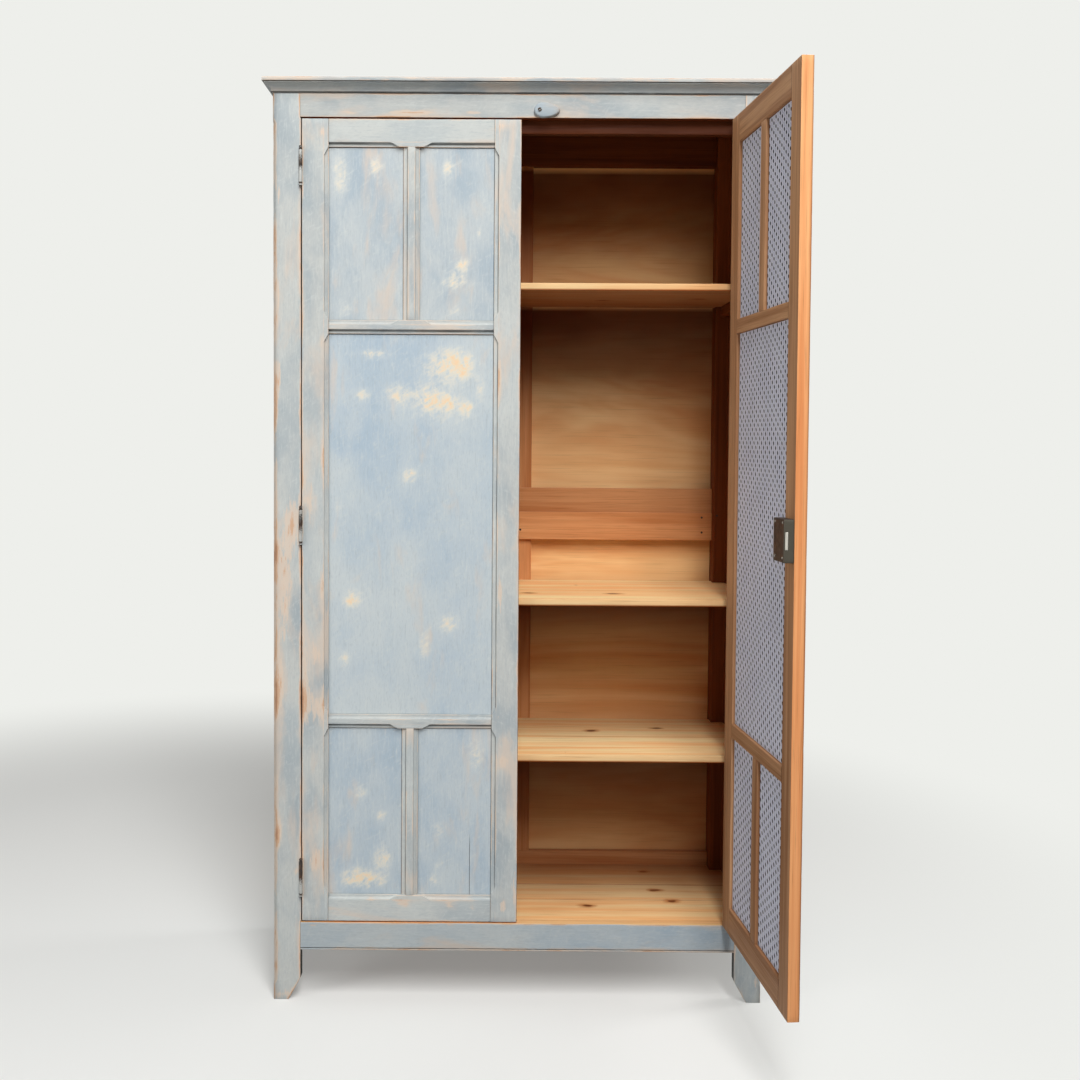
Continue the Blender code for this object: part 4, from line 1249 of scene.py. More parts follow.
@dataclass
class Door:
    """One framed door with five panels, drawn as the closed left door and put in its place."""

    hand: Hand
    palette: Palette
    place: Place
    seed: float
    moulding: Moulding = field(default_factory=Moulding)
    pitch: float = 11.0 * MM
    panel_pitch: float = 9.0 * MM
    groove_depth: float = 8.0 * MM
    panel_grip: float = 7.0 * MM
    panel_proud: float = 1.0 * MM
    muntin_margin: float = 8.0 * MM
    shoulder: float = 0.15 * MM
    crack_depth: float = 1.6 * MM
    crack_height: float = 0.128
    lining_inset: float = 1.2 * MM
    lining_thickness: float = 0.35 * MM
    lining_wave: float = 1.5 * MM
    key_setback: float = 30.0 * MM
    key_drop: float = 8.0 * MM
    key_radius: float = 3.2 * MM
    key_slot: float = 2.6 * MM
    key_length: float = 13.0 * MM

    def __post_init__(self) -> None:
        """Read the closed left door's lines from its nodes."""
        self.body = f"{self.hand.value}_door"
        self.hinge_edge, self.stile_inner = extent("left_door_hinge_stile", "x")
        self.stile_outer, self.free_edge = extent("left_door_meeting_stile", "x")
        self.face, self.back = extent("left_door_hinge_stile", "y")
        self.low, self.high = extent("left_door_hinge_stile", "z")
        self.thick = self.back - self.face
        front, rear = extent("left_door_middle_panel", "y")
        self.panel_front, self.panel_back = front - self.face - self.panel_proud, rear - self.face
        names = ("top_rail", "upper_cross_rail", "lower_cross_rail", "bottom_rail")
        self.rails = {name: extent(f"left_door_{name}", "z") for name in names}
        top, upper, lower, bottom = self.rails.values()
        self.bays = {"upper": (upper[1], top[0]), "middle": (lower[1], upper[0])}
        self.bays["lower"] = (bottom[1], lower[0])
        left, right = extent("left_door_upper_muntin", "x")
        middle, half = (self.hinge_edge + self.free_edge) / 2, (right - left) / 2
        self.muntin = (middle - half, middle + half)
        self.rubs, self.blotches = RUBS, BLOTCHES
        if self.hand is Hand.RIGHT:
            self.rubs, self.blotches = self.turned_spots(RUBS), self.turned_spots(BLOTCHES)

    def turned_spots(self, marks: Sequence[Spot]) -> tuple[Spot, ...]:
        """The same spots turned half round in the door's plane."""
        across, upward = self.hinge_edge + self.free_edge, self.low + self.high
        return tuple(replace(s, x=across - s.x, z=upward - s.z) for s in marks)

    def outline(
        self,
        width: float,
        edges: tuple[Optional[DirtAndShade], Optional[DirtAndShade]],
        outer: Side,
        cuts: tuple[bool, bool] = (False, False),
        grooves: tuple[bool, bool] = (False, False),
    ) -> list[Corner]:
        """Corners of a frame piece's section, with each edge plain or worked.

        Args:
            width: the piece's width.
            edges: soiling and painted shade of the moulding at zero and at the width, or none for a plain
                edge.
            outer: finish of a plain edge.
            cuts: whether the mouldings are there.
            grooves: whether the grooves are open.

        Returns:
            Corners from the near front arris round by the far edge and the back.
        """
        near, far = edges
        found = self.moulding.corners(0.0, 1.0, cuts[0], near)[::-1] if near else [Corner(0.0, 0.0)]
        if far:
            found += self.moulding.corners(width, -1.0, cuts[1], far) + self.groove(width, -1.0, grooves[1])
        else:
            found.append(Corner(width, 0.0, outer))
        found.append(Corner(width, self.thick, Side.BARE))
        found.append(Corner(0.0, self.thick, Side.BARE if near else outer))
        return found + (self.groove(0.0, 1.0, grooves[0])[::-1] if near else [])

    def groove(self, edge: float, into: float, is_open: bool) -> list[Corner]:
        """The groove for the panels, from front to back; a closed one keeps a hair's depth.

        Args:
            edge: the wood's edge.
            into: sign of the way into the wood.
            is_open: whether a panel stands in it.

        Returns:
            Its four corners.
        """
        deep = edge + into * (self.groove_depth if is_open else HAIR)
        front, back = self.panel_front - CLEARANCE, self.panel_back + CLEARANCE
        places = ((edge, front), (deep, front), (deep, back), (edge, back))
        return [Corner(a, d, Side.BARE, 0.3 * MM, 0.0) for a, d in places]

    def bar(self, base: Section, rows: Rows, axes: Axes, seed: float, **more: Any) -> Bar:
        """A bar of the frame, with the door's place and marks."""
        return Bar(base, rows, axes, seed, place=self.place, rubs=self.rubs, blotches=self.blotches, **more)

    def add(self, name: str, bar: Bar, surface: Surface, hole: Optional[Surface] = None) -> None:
        """Make one frame piece, its bare inside browner towards the foot of the door.

        Args:
            name: the node's name without the door's.
            bar: what the surface was drawn from.
            surface: the piece.
            hole: what is cut out of it.
        """
        inside = bar.drawn[:, 1] > self.back - 1.0 * MM
        surface.grime = surface.grime + 0.32 * inside * np.clip((1.45 - bar.drawn[:, 2]) / 0.9, 0, 1)
        node = f"{self.body}_{name}"
        finishes = self.palette.door_set
        add_piece(f"{node}_timber", [surface], finishes, self.body, Slot.PAINTED, node, hole=hole)

    def lean(self, base: Section, edge: float) -> Array:
        """How far each point of a section moves along at a stop: its width from the edge times the slant."""
        width = np.clip(np.abs(base.points[:, 0] - edge), 0, self.moulding.width)
        return width * self.moulding.runout / self.moulding.width

    def stile(self, name: str, x: float, to_right: float, seed: float) -> None:
        """A stile, its width measured from the outer edge, moulded and grooved on the inner edge.

        Args:
            name: the stile's name.
            x: its outer edge.
            to_right: 1 if its width goes to the right, else -1.
            seed: its own seed.
        """
        width = self.stile_inner - self.hinge_edge
        hinged = to_right > 0
        edges = (None, DIRT_AND_SHADE_LIT_SIDE if hinged else DIRT_AND_SHADE_DARK_SIDE)
        base = section(self.outline(width, edges, Side.EDGE))
        cut = section(self.outline(width, edges, Side.EDGE, (False, True)), like=base)
        grooved = section(self.outline(width, edges, Side.EDGE, grooves=(False, True)), like=base)
        runs = [Run(*self.bays[bay]) for bay in ("lower", "middle", "upper")]
        rows = moulded_rows(self.low, self.high, self.pitch, runs, self.moulding.runout)
        first, last = self.bays["lower"][0] - self.groove_depth, self.bays["upper"][1] + self.groove_depth
        inside = ((rows.station > first) & (rows.station < last)).astype(float)
        variants = [(cut, rows.weight), (grooved, inside)]
        axes, lean = upright(x, self.face, to_right), self.lean(base, width)
        bar = self.bar(base, rows, axes, seed, variants=variants, lean=lean, wear=0.60, cap_side=Side.EDGE)
        surface = bar.surface()
        outer = np.abs(bar.drawn[:, 0] - x) < 1.0 * MM
        # Painted shade on the outer edge next to the face: wider on the hinged stile, where it darkens the
        # gap beside the post; the edge is also darker towards the bottom.
        painted_shade_reach = 5.0 * MM if hinged else 2.5 * MM
        painted_shade = 0.8 * np.exp(-(((bar.drawn[:, 1] - self.face) / painted_shade_reach) ** 2))
        painted_shade += 0.10 * np.clip((0.95 - bar.drawn[:, 2]) / 0.75, 0, 1)
        surface.grime = surface.grime + outer * painted_shade
        locked = self.hand is Hand.RIGHT and not hinged
        self.add(name, bar, surface, self.keyhole() if locked else None)

    def keyhole(self) -> Surface:
        """What is cut out for the key: a circle with a slot below it, through the whole stile.

        Returns:
            The closed cutter.
        """
        height = sum(extent("lock_case", "z")) / 2 - self.key_drop
        slot, over = self.key_slot / 2, 5 * MM
        opening = math.asin(slot / self.key_radius)
        angle = np.linspace(opening, 2 * math.pi - opening, 25) - math.pi / 2
        foot = self.key_radius - self.key_length
        circle = stacked(np.cos(angle), np.sin(angle)) * self.key_radius
        outline = np.concatenate([circle, [[-slot, foot], [slot, foot]]])
        outline = outline + np.array([self.free_edge - self.key_setback, height])
        depths = np.array([[self.face - over], [self.back + over]])
        grid = stacked(outline[:, 0], depths, outline[:, 1])
        bare = Side.BARE.value
        # The hole's walls are darkened fully, painted shade inside the keyhole.
        return grid_surface(grid, bare, grid, 0 * grid[..., 0], self.place, cap_slot=bare, grime=1.0)

    def rail(self, name: str, below: str, above: str, seed: float) -> None:
        """A rail between the stiles, its mouldings running through or stopped round a muntin.

        Args:
            name: the rail's name.
            below: the bay under it, or an empty word.
            above: the bay over it, or an empty word.
            seed: its own seed.
        """
        low, high = self.rails[name]
        width = high - low
        edges = (DIRT_AND_SHADE_DOWN if below else None, DIRT_AND_SHADE_UP if above else None)
        grooves = (bool(below), bool(above))
        start, end = self.stile_inner + self.shoulder, self.stile_outer - self.shoulder
        left = Run(start, self.muntin[0] - self.muntin_margin, False, True)
        right = Run(self.muntin[1] + self.muntin_margin, end, True, False)
        rows = moulded_rows(start, end, self.pitch, (left, right), self.moulding.runout)
        rows = rows.with_ends(NEAR_JOINT)
        base = section(self.outline(width, edges, Side.EDGE, grooves=grooves))
        variants = []
        for bay, cuts in ((below, (True, False)), (above, (False, True))):
            if bay:
                worked = section(self.outline(width, edges, Side.EDGE, cuts, grooves), like=base)
                share = np.ones(len(rows.station)) if bay == "middle" else rows.weight
                variants.append((worked, share))
        split_edge = 0.0 if below in ("upper", "lower") else width
        shape = {"variants": variants, "lean": self.lean(base, split_edge), "end_round": 0.25 * MM}
        wear = {"wear": 0.56, "end_dirt": 0.62, "grime": 0.05 if name == "top_rail" else 0.0}
        bar = self.bar(base, rows, level_bar(self.face, low), seed, **shape, **wear)
        self.add(name, bar, bar.surface())

    def muntin_bar(self, bay: str, seed: float) -> None:
        """The upright in the middle of a split bay, moulded and grooved on both edges.

        Args:
            bay: upper or lower.
            seed: of the grain.
        """
        width = self.muntin[1] - self.muntin[0]
        low, high = self.bays[bay]
        both = (True, True)
        base = section(self.outline(width, (DIRT_AND_SHADE_DARK_SIDE, DIRT_AND_SHADE_LIT_SIDE), Side.BARE, both, both))
        rows = plain_rows(low + self.shoulder, high - self.shoulder, self.pitch)
        axes = upright(self.muntin[0], self.face)
        bar = self.bar(base, rows, axes, seed, wear=0.60, end_round=0.25 * MM)
        self.add(f"{bay}_muntin", bar, bar.surface())

    def panel(self, name: str, span: Pair, bay: str, seed: float, crack: float = 0.0) -> None:
        """A flat panel with a faint cup, and the lining glued to its back.

        Args:
            name: the panel's name.
            span: sight edges across.
            bay: the bay that it fills.
            seed: its own seed.
            crack: place across of a split that rises from its foot, or zero.
        """
        low, high = self.bays[bay]
        sides = (span[0] - self.panel_grip, span[1] + self.panel_grip)
        foot, head = low - self.panel_grip, high + self.panel_grip
        near = np.array(NEAR_SIGHT_LINE)
        base = section(self.panel_corners(sides, crack, 0.0), self.panel_pitch, close=NEAR_SIGHT_LINE)
        rows = plain_rows(foot, head, self.panel_pitch, *(foot + near), *(head - near))
        bar = Bar(base, rows, upright(0.0, self.face), seed, place=self.place, blotches=self.blotches)
        bar.wear, bar.bow, bar.nick = 0.12, HAIR, 0.0
        bar.tone = {"upper": 0.55, "middle": 1.0, "lower": 0.85}[bay]
        if crack:
            split = section(self.panel_corners(sides, crack, self.crack_depth), like=base)
            bar.variants = [(split, np.clip((low + self.crack_height - rows.station) / 0.03, 0, 1))]
        surface = bar.surface()
        # Painted shadow lines where the panel meets the frame.
        surface.grime = self.panel_grime(bar, span, (low, high))
        node = f"{self.body}_{name}"
        add_piece(f"{node}_board", [surface], self.palette.door_set, self.body, Slot.PAINTED, node)
        self.lining(name.replace("panel", "lining"), span, (low, high), seed)

    def panel_grime(self, bar: Bar, span: Pair, heights: Pair) -> Array:
        """Painted shadow lines at the sight line, strongest along the top and the right of the drawn panel:
        each falls off within two millimetres of the frame. The bar's own soiling and painted shade, which
        mark a split, are added.

        Args:
            bar: the panel's bar.
            span: sight edges across.
            heights: sight edges below and above.

        Returns:
            Painted shade and soiling of each point.
        """
        x, z = bar.drawn[:, 0], bar.drawn[:, 2]
        gaps = (x - span[0], span[1] - x, z - heights[0], heights[1] - z)
        lines = [
            strength * np.clip(1.0 - (gap - 0.8 * MM) / fade, 0, 1)
            for gap, strength, fade in zip(gaps, (0.35, 0.95, 0.30, 1.0), np.array([1.0, 1.1, 1.0, 1.2]) * MM)
        ]
        uneven = 0.85 + 0.15 * wander(z * 12 + x * 9, self.seed)
        return np.maximum.reduce(lines) * uneven + bar.dirt

    def panel_corners(self, sides: Pair, crack: float, deep: float) -> list[Corner]:
        """Section of a panel, with three points at a split's place when it has one.

        Args:
            sides: the panel's edges across.
            crack: the split's place, or zero.
            deep: the split's depth.

        Returns:
            Corners from the front's left round by the back.
        """
        (left, right), front, back = sides, self.panel_front, self.panel_back
        found = [Corner(left, front, Side.PAINT, 0.4 * MM, 0.2)]
        if crack:
            for shift, depth in ((-0.7 * MM, 0.0), (0.0, deep), (0.7 * MM, 0.0)):
                dirt = 0.95 if depth else 0.0
                found.append(Corner(crack + shift, front + depth, Side.PAINT, 0.02 * MM, 0.15, dirt))
        ends = ((right, front, 0.2), (right, back, 0.0), (left, back, 0.0))
        return found + [Corner(a, d, Side.BARE, 0.4 * MM, keen) for a, d, keen in ends]

    def lining(self, name: str, span: Pair, heights: Pair, seed: float) -> None:
        """Printed lining glued on a panel's back: a thin sheet whose edges were cut by hand.

        Rows run up the panel; each row is a flat loop of two skins, its ends moved by a slow wander.

        Args:
            name: the piece's name without the door's.
            span: the panel's visible left and right edge.
            heights: its low and high edge.
            seed: of the wander.
        """
        left, right = span[0] + self.lining_inset, span[1] - self.lining_inset
        skins = (self.panel_back + HAIR, self.panel_back + HAIR + self.lining_thickness)
        base = section(rectangle((left, right), skins, ALL_PAINT, 0.1 * MM))
        inner = (left + self.lining_wave, right - self.lining_wave)
        narrow = section(rectangle(inner, skins, ALL_PAINT, 0.1 * MM), like=base)
        rows = plain_rows(heights[0] + self.lining_inset, heights[1] - self.lining_inset, 8.0 * MM)
        bar = Bar(base, rows, upright(0.0, self.face), seed, place=self.place, cap_side=Side.PAINT)
        bar.variants = [(narrow, 0.5 + 0.5 * wander(rows.station * 14, seed))]
        bar.bow, bar.nick, bar.end_round = 0.0, 0.0, HAIR
        add_piece(f"{self.body}_{name}", [bar.surface()], [self.palette.lining], self.body, None)

    def build(self) -> None:
        """Frame, panels and linings."""
        seed = self.seed
        self.stile("hinge_stile", self.hinge_edge, 1.0, seed + 0.11)
        self.stile("meeting_stile", self.free_edge, -1.0, seed + 0.23)
        self.rail("top_rail", "upper", "", seed + 0.31)
        self.rail("upper_cross_rail", "middle", "upper", seed + 0.47)
        self.rail("lower_cross_rail", "lower", "middle", seed + 0.53)
        self.rail("bottom_rail", "", "lower", seed + 0.67)
        cracks = {"lower": -0.098} if self.hand is Hand.LEFT else {}
        for index, bay in enumerate(("upper", "lower")):
            self.muntin_bar(bay, seed + 0.71 + 0.1 * index)
            hinge_span, free_span = (self.stile_inner, self.muntin[0]), (self.muntin[1], self.stile_outer)
            self.panel(f"{bay}_hinge_panel", hinge_span, bay, seed + 1.1 + index)
            self.panel(f"{bay}_free_panel", free_span, bay, seed + 1.3 + index, cracks.get(bay, 0.0))
        self.panel("middle_panel", (self.stile_inner, self.stile_outer), "middle", seed + 1.7)


@dataclass
class Carcass:
    """Posts, rails, cornice, sides, back and boards."""

    palette: Palette
    pitch: float = 12.0 * MM
    post_pitch: float = 11.0 * MM
    post_arris: float = 1.0 * MM
    chamfer: float = 6.0 * MM
    chamfer_low: float = 31.0 * MM
    chamfer_drop: float = 50.0 * MM
    chamfer_runout: float = 10.0 * MM
    foot_height: float = 44.0 * MM
    foot_taper: float = 24.0 * MM
    reveal: float = 10.0 * MM
    gap_depth: float = 12.0 * MM
    gap_filling: float = 1.5 * MM
    turned_rubs: float = 1.45
    bead: float = 3.2 * MM
    bead_quirk: float = 1.5 * MM
    side_faces: Pair = (-0.485, -0.469)
    side_rails: Pair = (58.0 * MM, 57.0 * MM)
    side_rail_thick: float = 9.8 * MM
    bearer: Pair = (22.0 * MM, 18.0 * MM)
    rail_step: float = 63.0 * MM
    rail_step_depth: float = 4.0 * MM
    sheet_sunk: float = 0.7 * MM
    joint_half: float = 0.8 * MM
    joint_depth: float = 1.6 * MM

    def timber(
        self, node: str, surfaces: Sequence[Surface], finishes: Sequence[Material], slot: Slot
    ) -> None:
        """One carcass piece for its node."""
        add_piece(f"{node}_timber", surfaces, finishes, "carcass", slot, node)

    def between_posts(self) -> Pair:
        """Where the room between front and rear posts starts and ends, less the clearance."""
        front, rear = extent("front_left_post", "y")[1], extent("rear_left_post", "y")[0]
        return front + CLEARANCE, rear - CLEARANCE

    def filling(self, node: str, sides: tuple, radius: float = 1.3 * MM) -> list[Corner]:
        """Corners of a bar along X that fills a node's box, its width going up."""
        (front, back), (low, high) = extent(node, "y"), extent(node, "z")
        return rectangle((0.0, high - low), (0.0, back - front), sides, radius)

    def level(self, node: str, corners: Sequence[Corner], seed: float, **more: Any) -> Bar:
        """A bar along X from end to end of a node's box, its width going up.

        Args:
            node: the CAD node.
            corners: the section.
            seed: of the grain.
            more: other fields of the bar.

        Returns:
            The bar.
        """
        low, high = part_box(node)
        rows = plain_rows(low.x, high.x, self.pitch)
        return Bar(section(corners), rows, level_bar(low.y, low.z), seed, end_round=0.4 * MM, **more)

    def post_corners(self, width: float, thick: float, cut: float, taper: float, front: bool) -> list[Corner]:
        """Section of a post, its width from the outer side; where the side panel meets it, paint stops.

        Args:
            width: the post's width.
            thick: its depth.
            cut: how far the outer front arris is cut off.
            taper: what the foot loses of the width.
            front: whether it is a front post.

        Returns:
            Corners from the outer front arris round by the inner side.
        """
        inner = width - taper
        paint, bare = Side.PAINT, Side.BARE
        if front:
            middle = [
                Corner(inner, 0.0, paint, 1.4 * MM),
                # Darkened at the gap's depth, painted shade in the gap beside the door.
                Corner(inner, self.gap_depth, bare, 0.3 * MM, 0.0, 1.0),
                Corner(inner, thick, bare, 1.2 * MM, 0.0),
                Corner(self.reveal, thick, paint, 0.2 * MM, 0.0),
            ]
        else:
            middle = [
                Corner(self.reveal, 0.0, bare, 0.2 * MM, 0.0),
                Corner(inner, 0.0, bare, 1.4 * MM, 0.0),
                Corner(inner, thick, paint, 1.2 * MM, 0.6),
            ]
        outer = [Corner(0.0, thick, paint, 1.2 * MM, 0.8), Corner(0.0, cut, paint, 0.8 * MM)]
        return [Corner(cut, 0.0, paint, 0.8 * MM), *middle, *outer]

    def posts(self) -> None:
        """Four posts with tapered feet; the front ones have a stopped chamfer on the outer arris."""
        turned_over = tuple(replace(s, z=self.turned_rubs - s.z) for s in RUBS)
        for hand, place, rubs in (("left", HERE, RUBS), ("right", MIRRORED, turned_over)):
            for depth in ("front", "rear"):
                seed = 2.3 + 0.37 * (hand == "right") + 0.71 * (depth == "front")
                self.post(depth, hand, place, seed, rubs if depth == "front" else ())

    def post(self, depth: str, hand: str, place: Place, seed: float, rubs: Sequence[Spot]) -> None:
        """One post: plain, chamfered, widened beside the door and tapered at its foot, blended by height.

        Args:
            depth: front or rear.
            hand: left or right.
            place: where the left post's drawing stands.
            seed: its own seed.
            rubs: worn spots on its face.
        """
        low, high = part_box(f"{depth}_left_post")
        width, thick = high.x - low.x, high.y - low.y
        front = depth == "front"
        top = high.z - self.chamfer_drop
        stops = (self.chamfer_low, self.chamfer_low + self.chamfer_runout, top - self.chamfer_runout, top)
        door_low, door_high = extent("left_door_hinge_stile", "z")
        beside = (door_low - 2.5 * MM, door_low - 0.5 * MM, door_high + 0.5 * MM, door_high + 2.5 * MM)
        rows = plain_rows(low.z, high.z, self.post_pitch, self.foot_height, *stops, *beside)
        base = section(self.post_corners(width, thick, self.post_arris, 0.0, front))
        forms = ((width, self.chamfer, 0.0), (width, self.post_arris, self.foot_taper))
        forms += ((width + self.gap_filling, self.post_arris, 0.0),)
        shares = (
            np.interp(rows.station, stops, (0, 1, 1, 0)) * front,
            np.clip(1 - rows.station / self.foot_height, 0, 1),
            np.interp(rows.station, beside, (0, 1, 1, 0)) * front,
        )
        variants = [
            (section(self.post_corners(wide, thick, cut, taper, front), like=base), share)
            for (wide, cut, taper), share in zip(forms, shares)
        ]
        bar = Bar(base, rows, upright(low.x, low.y), seed, variants, place=place, rubs=rubs)
        surface = bar.surface()
        if front:
            # Painted shade: a band along the outer chamfer, and the inner side beside the door gap, darker
            # deeper in.
            x, y = bar.drawn[:, 0] - low.x, bar.drawn[:, 1] - low.y
            deeper = np.clip((y - 1.5 * MM) / (3 * MM), 0, 1)
            painted_shade = 0.42 * np.exp(-(((x + y) / (7 * MM)) ** 2)) + 0.95 * (x > width - 0.8 * MM) * deeper
            surface.grime = surface.grime + painted_shade
        foot = surface.points[surface.quads][..., 2].mean(1) < extent("front_bottom_rail", "z")[0]
        surface.slots = np.where(foot, Side.PAINT.value, surface.slots)
        self.timber(f"{depth}_{hand}_post", [surface], self.palette.carcass_set, Slot.PAINTED)

    def front_rails(self) -> None:
        """Frieze, the stop behind it, and the bottom rail with a bead on its lower edge."""
        wood = self.palette.carcass_set
        shown = self.filling("frieze_rail", (Side.PAINT, Side.BARE, Side.BARE, Side.BARE))
        # The frieze is darkened a little, painted shade under the cornice's overhang.
        frieze = self.level("frieze_rail", shown, 4.1, rubs=RUBS, grime=0.12)
        self.timber("frieze_rail", [frieze.surface()], wood, Slot.PAINTED)
        # The stop is darkened strongly, painted shade behind and below the frieze.
        stop = self.level("door_stop", self.filling("door_stop", ALL_BARE), 4.3, grime=0.60)
        self.timber("door_stop", [stop.surface()], wood, Slot.BARE)
        (front, back), (low, high) = extent("front_bottom_rail", "y"), extent("front_bottom_rail", "z")
        bead, quirk = self.bead, self.bead_quirk
        corners = [
            Corner(0.0, 0.3 * MM, Side.PAINT, 1.3 * MM),
            Corner(bead, 0.3 * MM, Side.PAINT, 1.0 * MM, 0.8),
            # The bead's quirk is darkened fully, soiling and painted shade.
            Corner(bead, quirk, Side.PAINT, 0.2 * MM, 0.0, 1.0),
            Corner(bead + quirk, quirk, Side.PAINT, 0.2 * MM, 0.0, 1.0),
            Corner(bead + quirk, 0.0, Side.PAINT, 0.6 * MM, 0.7),
            Corner(high - low, 0.0, Side.EDGE, 1.5 * MM),
            Corner(high - low, back - front, Side.BARE, 1.0 * MM),
            Corner(0.0, back - front, Side.BARE, 1.0 * MM),
        ]
        bottom = self.level("front_bottom_rail", corners, 4.7, rubs=RUBS, tone=0.8, grime=0.19)
        finishes = [self.palette.paint, self.palette.frame_wood, self.palette.pine]
        self.timber("front_bottom_rail", [bottom.surface()], finishes, Slot.PAINTED)

    def cornice(self) -> None:
        """The moulded top board: each row is a rectangle round the body at one overhang and height.

        Rows run from the middle of the underside out to the bed, up the cove, quirk and lip, and back
        to the middle of the top, so one closed sheet of rectangles makes the whole board.
        """
        low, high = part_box("cornice_top")
        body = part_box("front_left_post")[0]
        reach = high.x + body.x
        inner = np.array([0.16, 0.11, 0.06, 0.02])
        under, over = stacked(-inner, low.z), stacked(-inner[::-1], high.z)
        profile = np.concatenate([under, self.cornice_outline(reach, low.z, high.z), over])
        out, height = profile.T
        counts = (62, 24, 62, 24)
        side = np.repeat(np.arange(4), counts)
        share = np.concatenate([np.arange(count) / count for count in counts])
        grid = self.cornice_grid(profile, side, share, (-body.x, body.y, high.y))
        dents = np.clip(wander(grid[..., 0] * 27 + grid[..., 1] * 31, 5.1) - 0.45, 0, 1)
        keen = np.exp(-np.abs(height - high.z) / (3 * MM)) * (out > reach - 4 * MM)
        keen = keen + 0.6 * np.exp(-np.abs(height - (high.z - 8 * MM)) / (1.5 * MM)) * (out > 0)
        grid[..., 2] += 0.25 * MM * wander(grid[..., 0] * 2.2, 5.3) - 0.9 * MM * dents * keen[:, None]
        length = np.concatenate([[0], np.cumsum(np.linalg.norm(np.diff(profile, axis=0), axis=1))])
        along = np.where(side % 2, grid[..., 1], grid[..., 0])
        grain = stacked(along, length[:, None], 0.0)
        flat = out < 0
        grain[flat, :, :2] = grid[flat, :, :2] + np.array([0.0, 0.5])
        worn = keen[:, None] * (0.62 + 0.3 * wander(along * 8, 5.7)) + 0.1
        surface = grid_surface(grid, Side.PAINT.value, grain, worn)
        # Painted shade over the moulded edge; none on the flat top and underside.
        painted_shade = self.cornice_soot(height - low.z, high.z - low.z) * (out > 0)
        surface.grime = np.repeat(painted_shade, len(side))
        finishes = [self.palette.paint]
        add_piece("cornice_top_board", [surface], finishes, "carcass", Slot.PAINTED, "cornice_top")

    @staticmethod
    def cornice_soot(up: Array, top: float) -> Array:
        """Painted shade up the edge: under the bed, over the cove, in the quirk below the lip and at the
        lip's lower arris.

        Args:
            up: heights above the cornice's bed.
            top: the cornice's height.

        Returns:
            Share of painted shade at each height.
        """
        from_bed = ((0.0, 1.0), (0.4, 1.0), (2.4, 0.9), (3.2, 0.15), (5.0, 0.42))
        below_top = ((12.5, 0.06), (11.2, 0.10), (10.4, 1.0), (9.9, 0.15), (9.2, 0.15))
        below_top += ((8.2, 1.0), (7.5, 0.5), (7.0, 0.0))
        marks = [(h * MM, s) for h, s in from_bed] + [(top - h * MM, s) for h, s in below_top]
        return np.interp(up, *np.array(marks).T)

    def cornice_outline(self, reach: float, low: float, high: float) -> Array:
        """Overhang and height up the edge: bed fillet, cove, quirk, and a lip with a rounded arris.

        Args:
            reach: the lip's overhang.
            low: the underside's height.
            high: the top's height.

        Returns:
            Points from the underside to the top.
        """
        bed, lip, quirk, round_low, round_high = (size * MM for size in (3.0, 8.0, 3.0, 0.8, 2.2))
        angle, turn = np.linspace(0, math.pi / 2, 9), np.linspace(0, math.pi / 2, 5)
        cove_high = high - lip - quirk
        cove_out = bed + (reach - quirk - bed) * (1 - np.cos(angle))
        cove = stacked(cove_out, low + bed + (cove_high - low - bed) * np.sin(angle))
        lower = np.array([reach - round_low, high - lip + round_low])
        lower = lower + round_low * stacked(np.sin(turn), -np.cos(turn))
        upper = np.array([reach - round_high, high - round_high])
        upper = upper + round_high * stacked(np.cos(turn), np.sin(turn))
        ease = 0.3 * MM
        first = np.array([[0.0, low], [bed - ease, low], [bed, low + ease], [bed, low + bed - ease]])
        neck = np.array([[reach - quirk, cove_high + rise * MM] for rise in (0.5, 1.1, 1.8, 2.4, 3.0)])
        return np.concatenate([first, cove, neck, lower, upper, [[reach - 6 * MM, high]]])

    def cornice_grid(self, profile: Array, side: Array, share: Array, body: Triple) -> Array:
        """Points of each row's rectangle: a corner of the row plus a share of the way to the next.

        Args:
            profile: overhang and height of each row.
            side: number of the rectangle's side for each place round it, front first.
            share: how far along its side each place is.
            body: the body's half width, front and back.

        Returns:
            Points by row and place.
        """
        half, front, back = body
        over = profile[:, 0]
        wide, fore, aft = half + over, front - over, back + np.minimum(over, 0.0)
        corners = stacked([-wide, wide, wide, -wide], [fore, fore, aft, aft])
        start, end = corners[side], corners[(side + 1) % 4]
        flat = (start + share[:, None, None] * (end - start)).transpose(1, 0, 2)
        return stacked(flat[..., 0], flat[..., 1], profile[:, 1:])

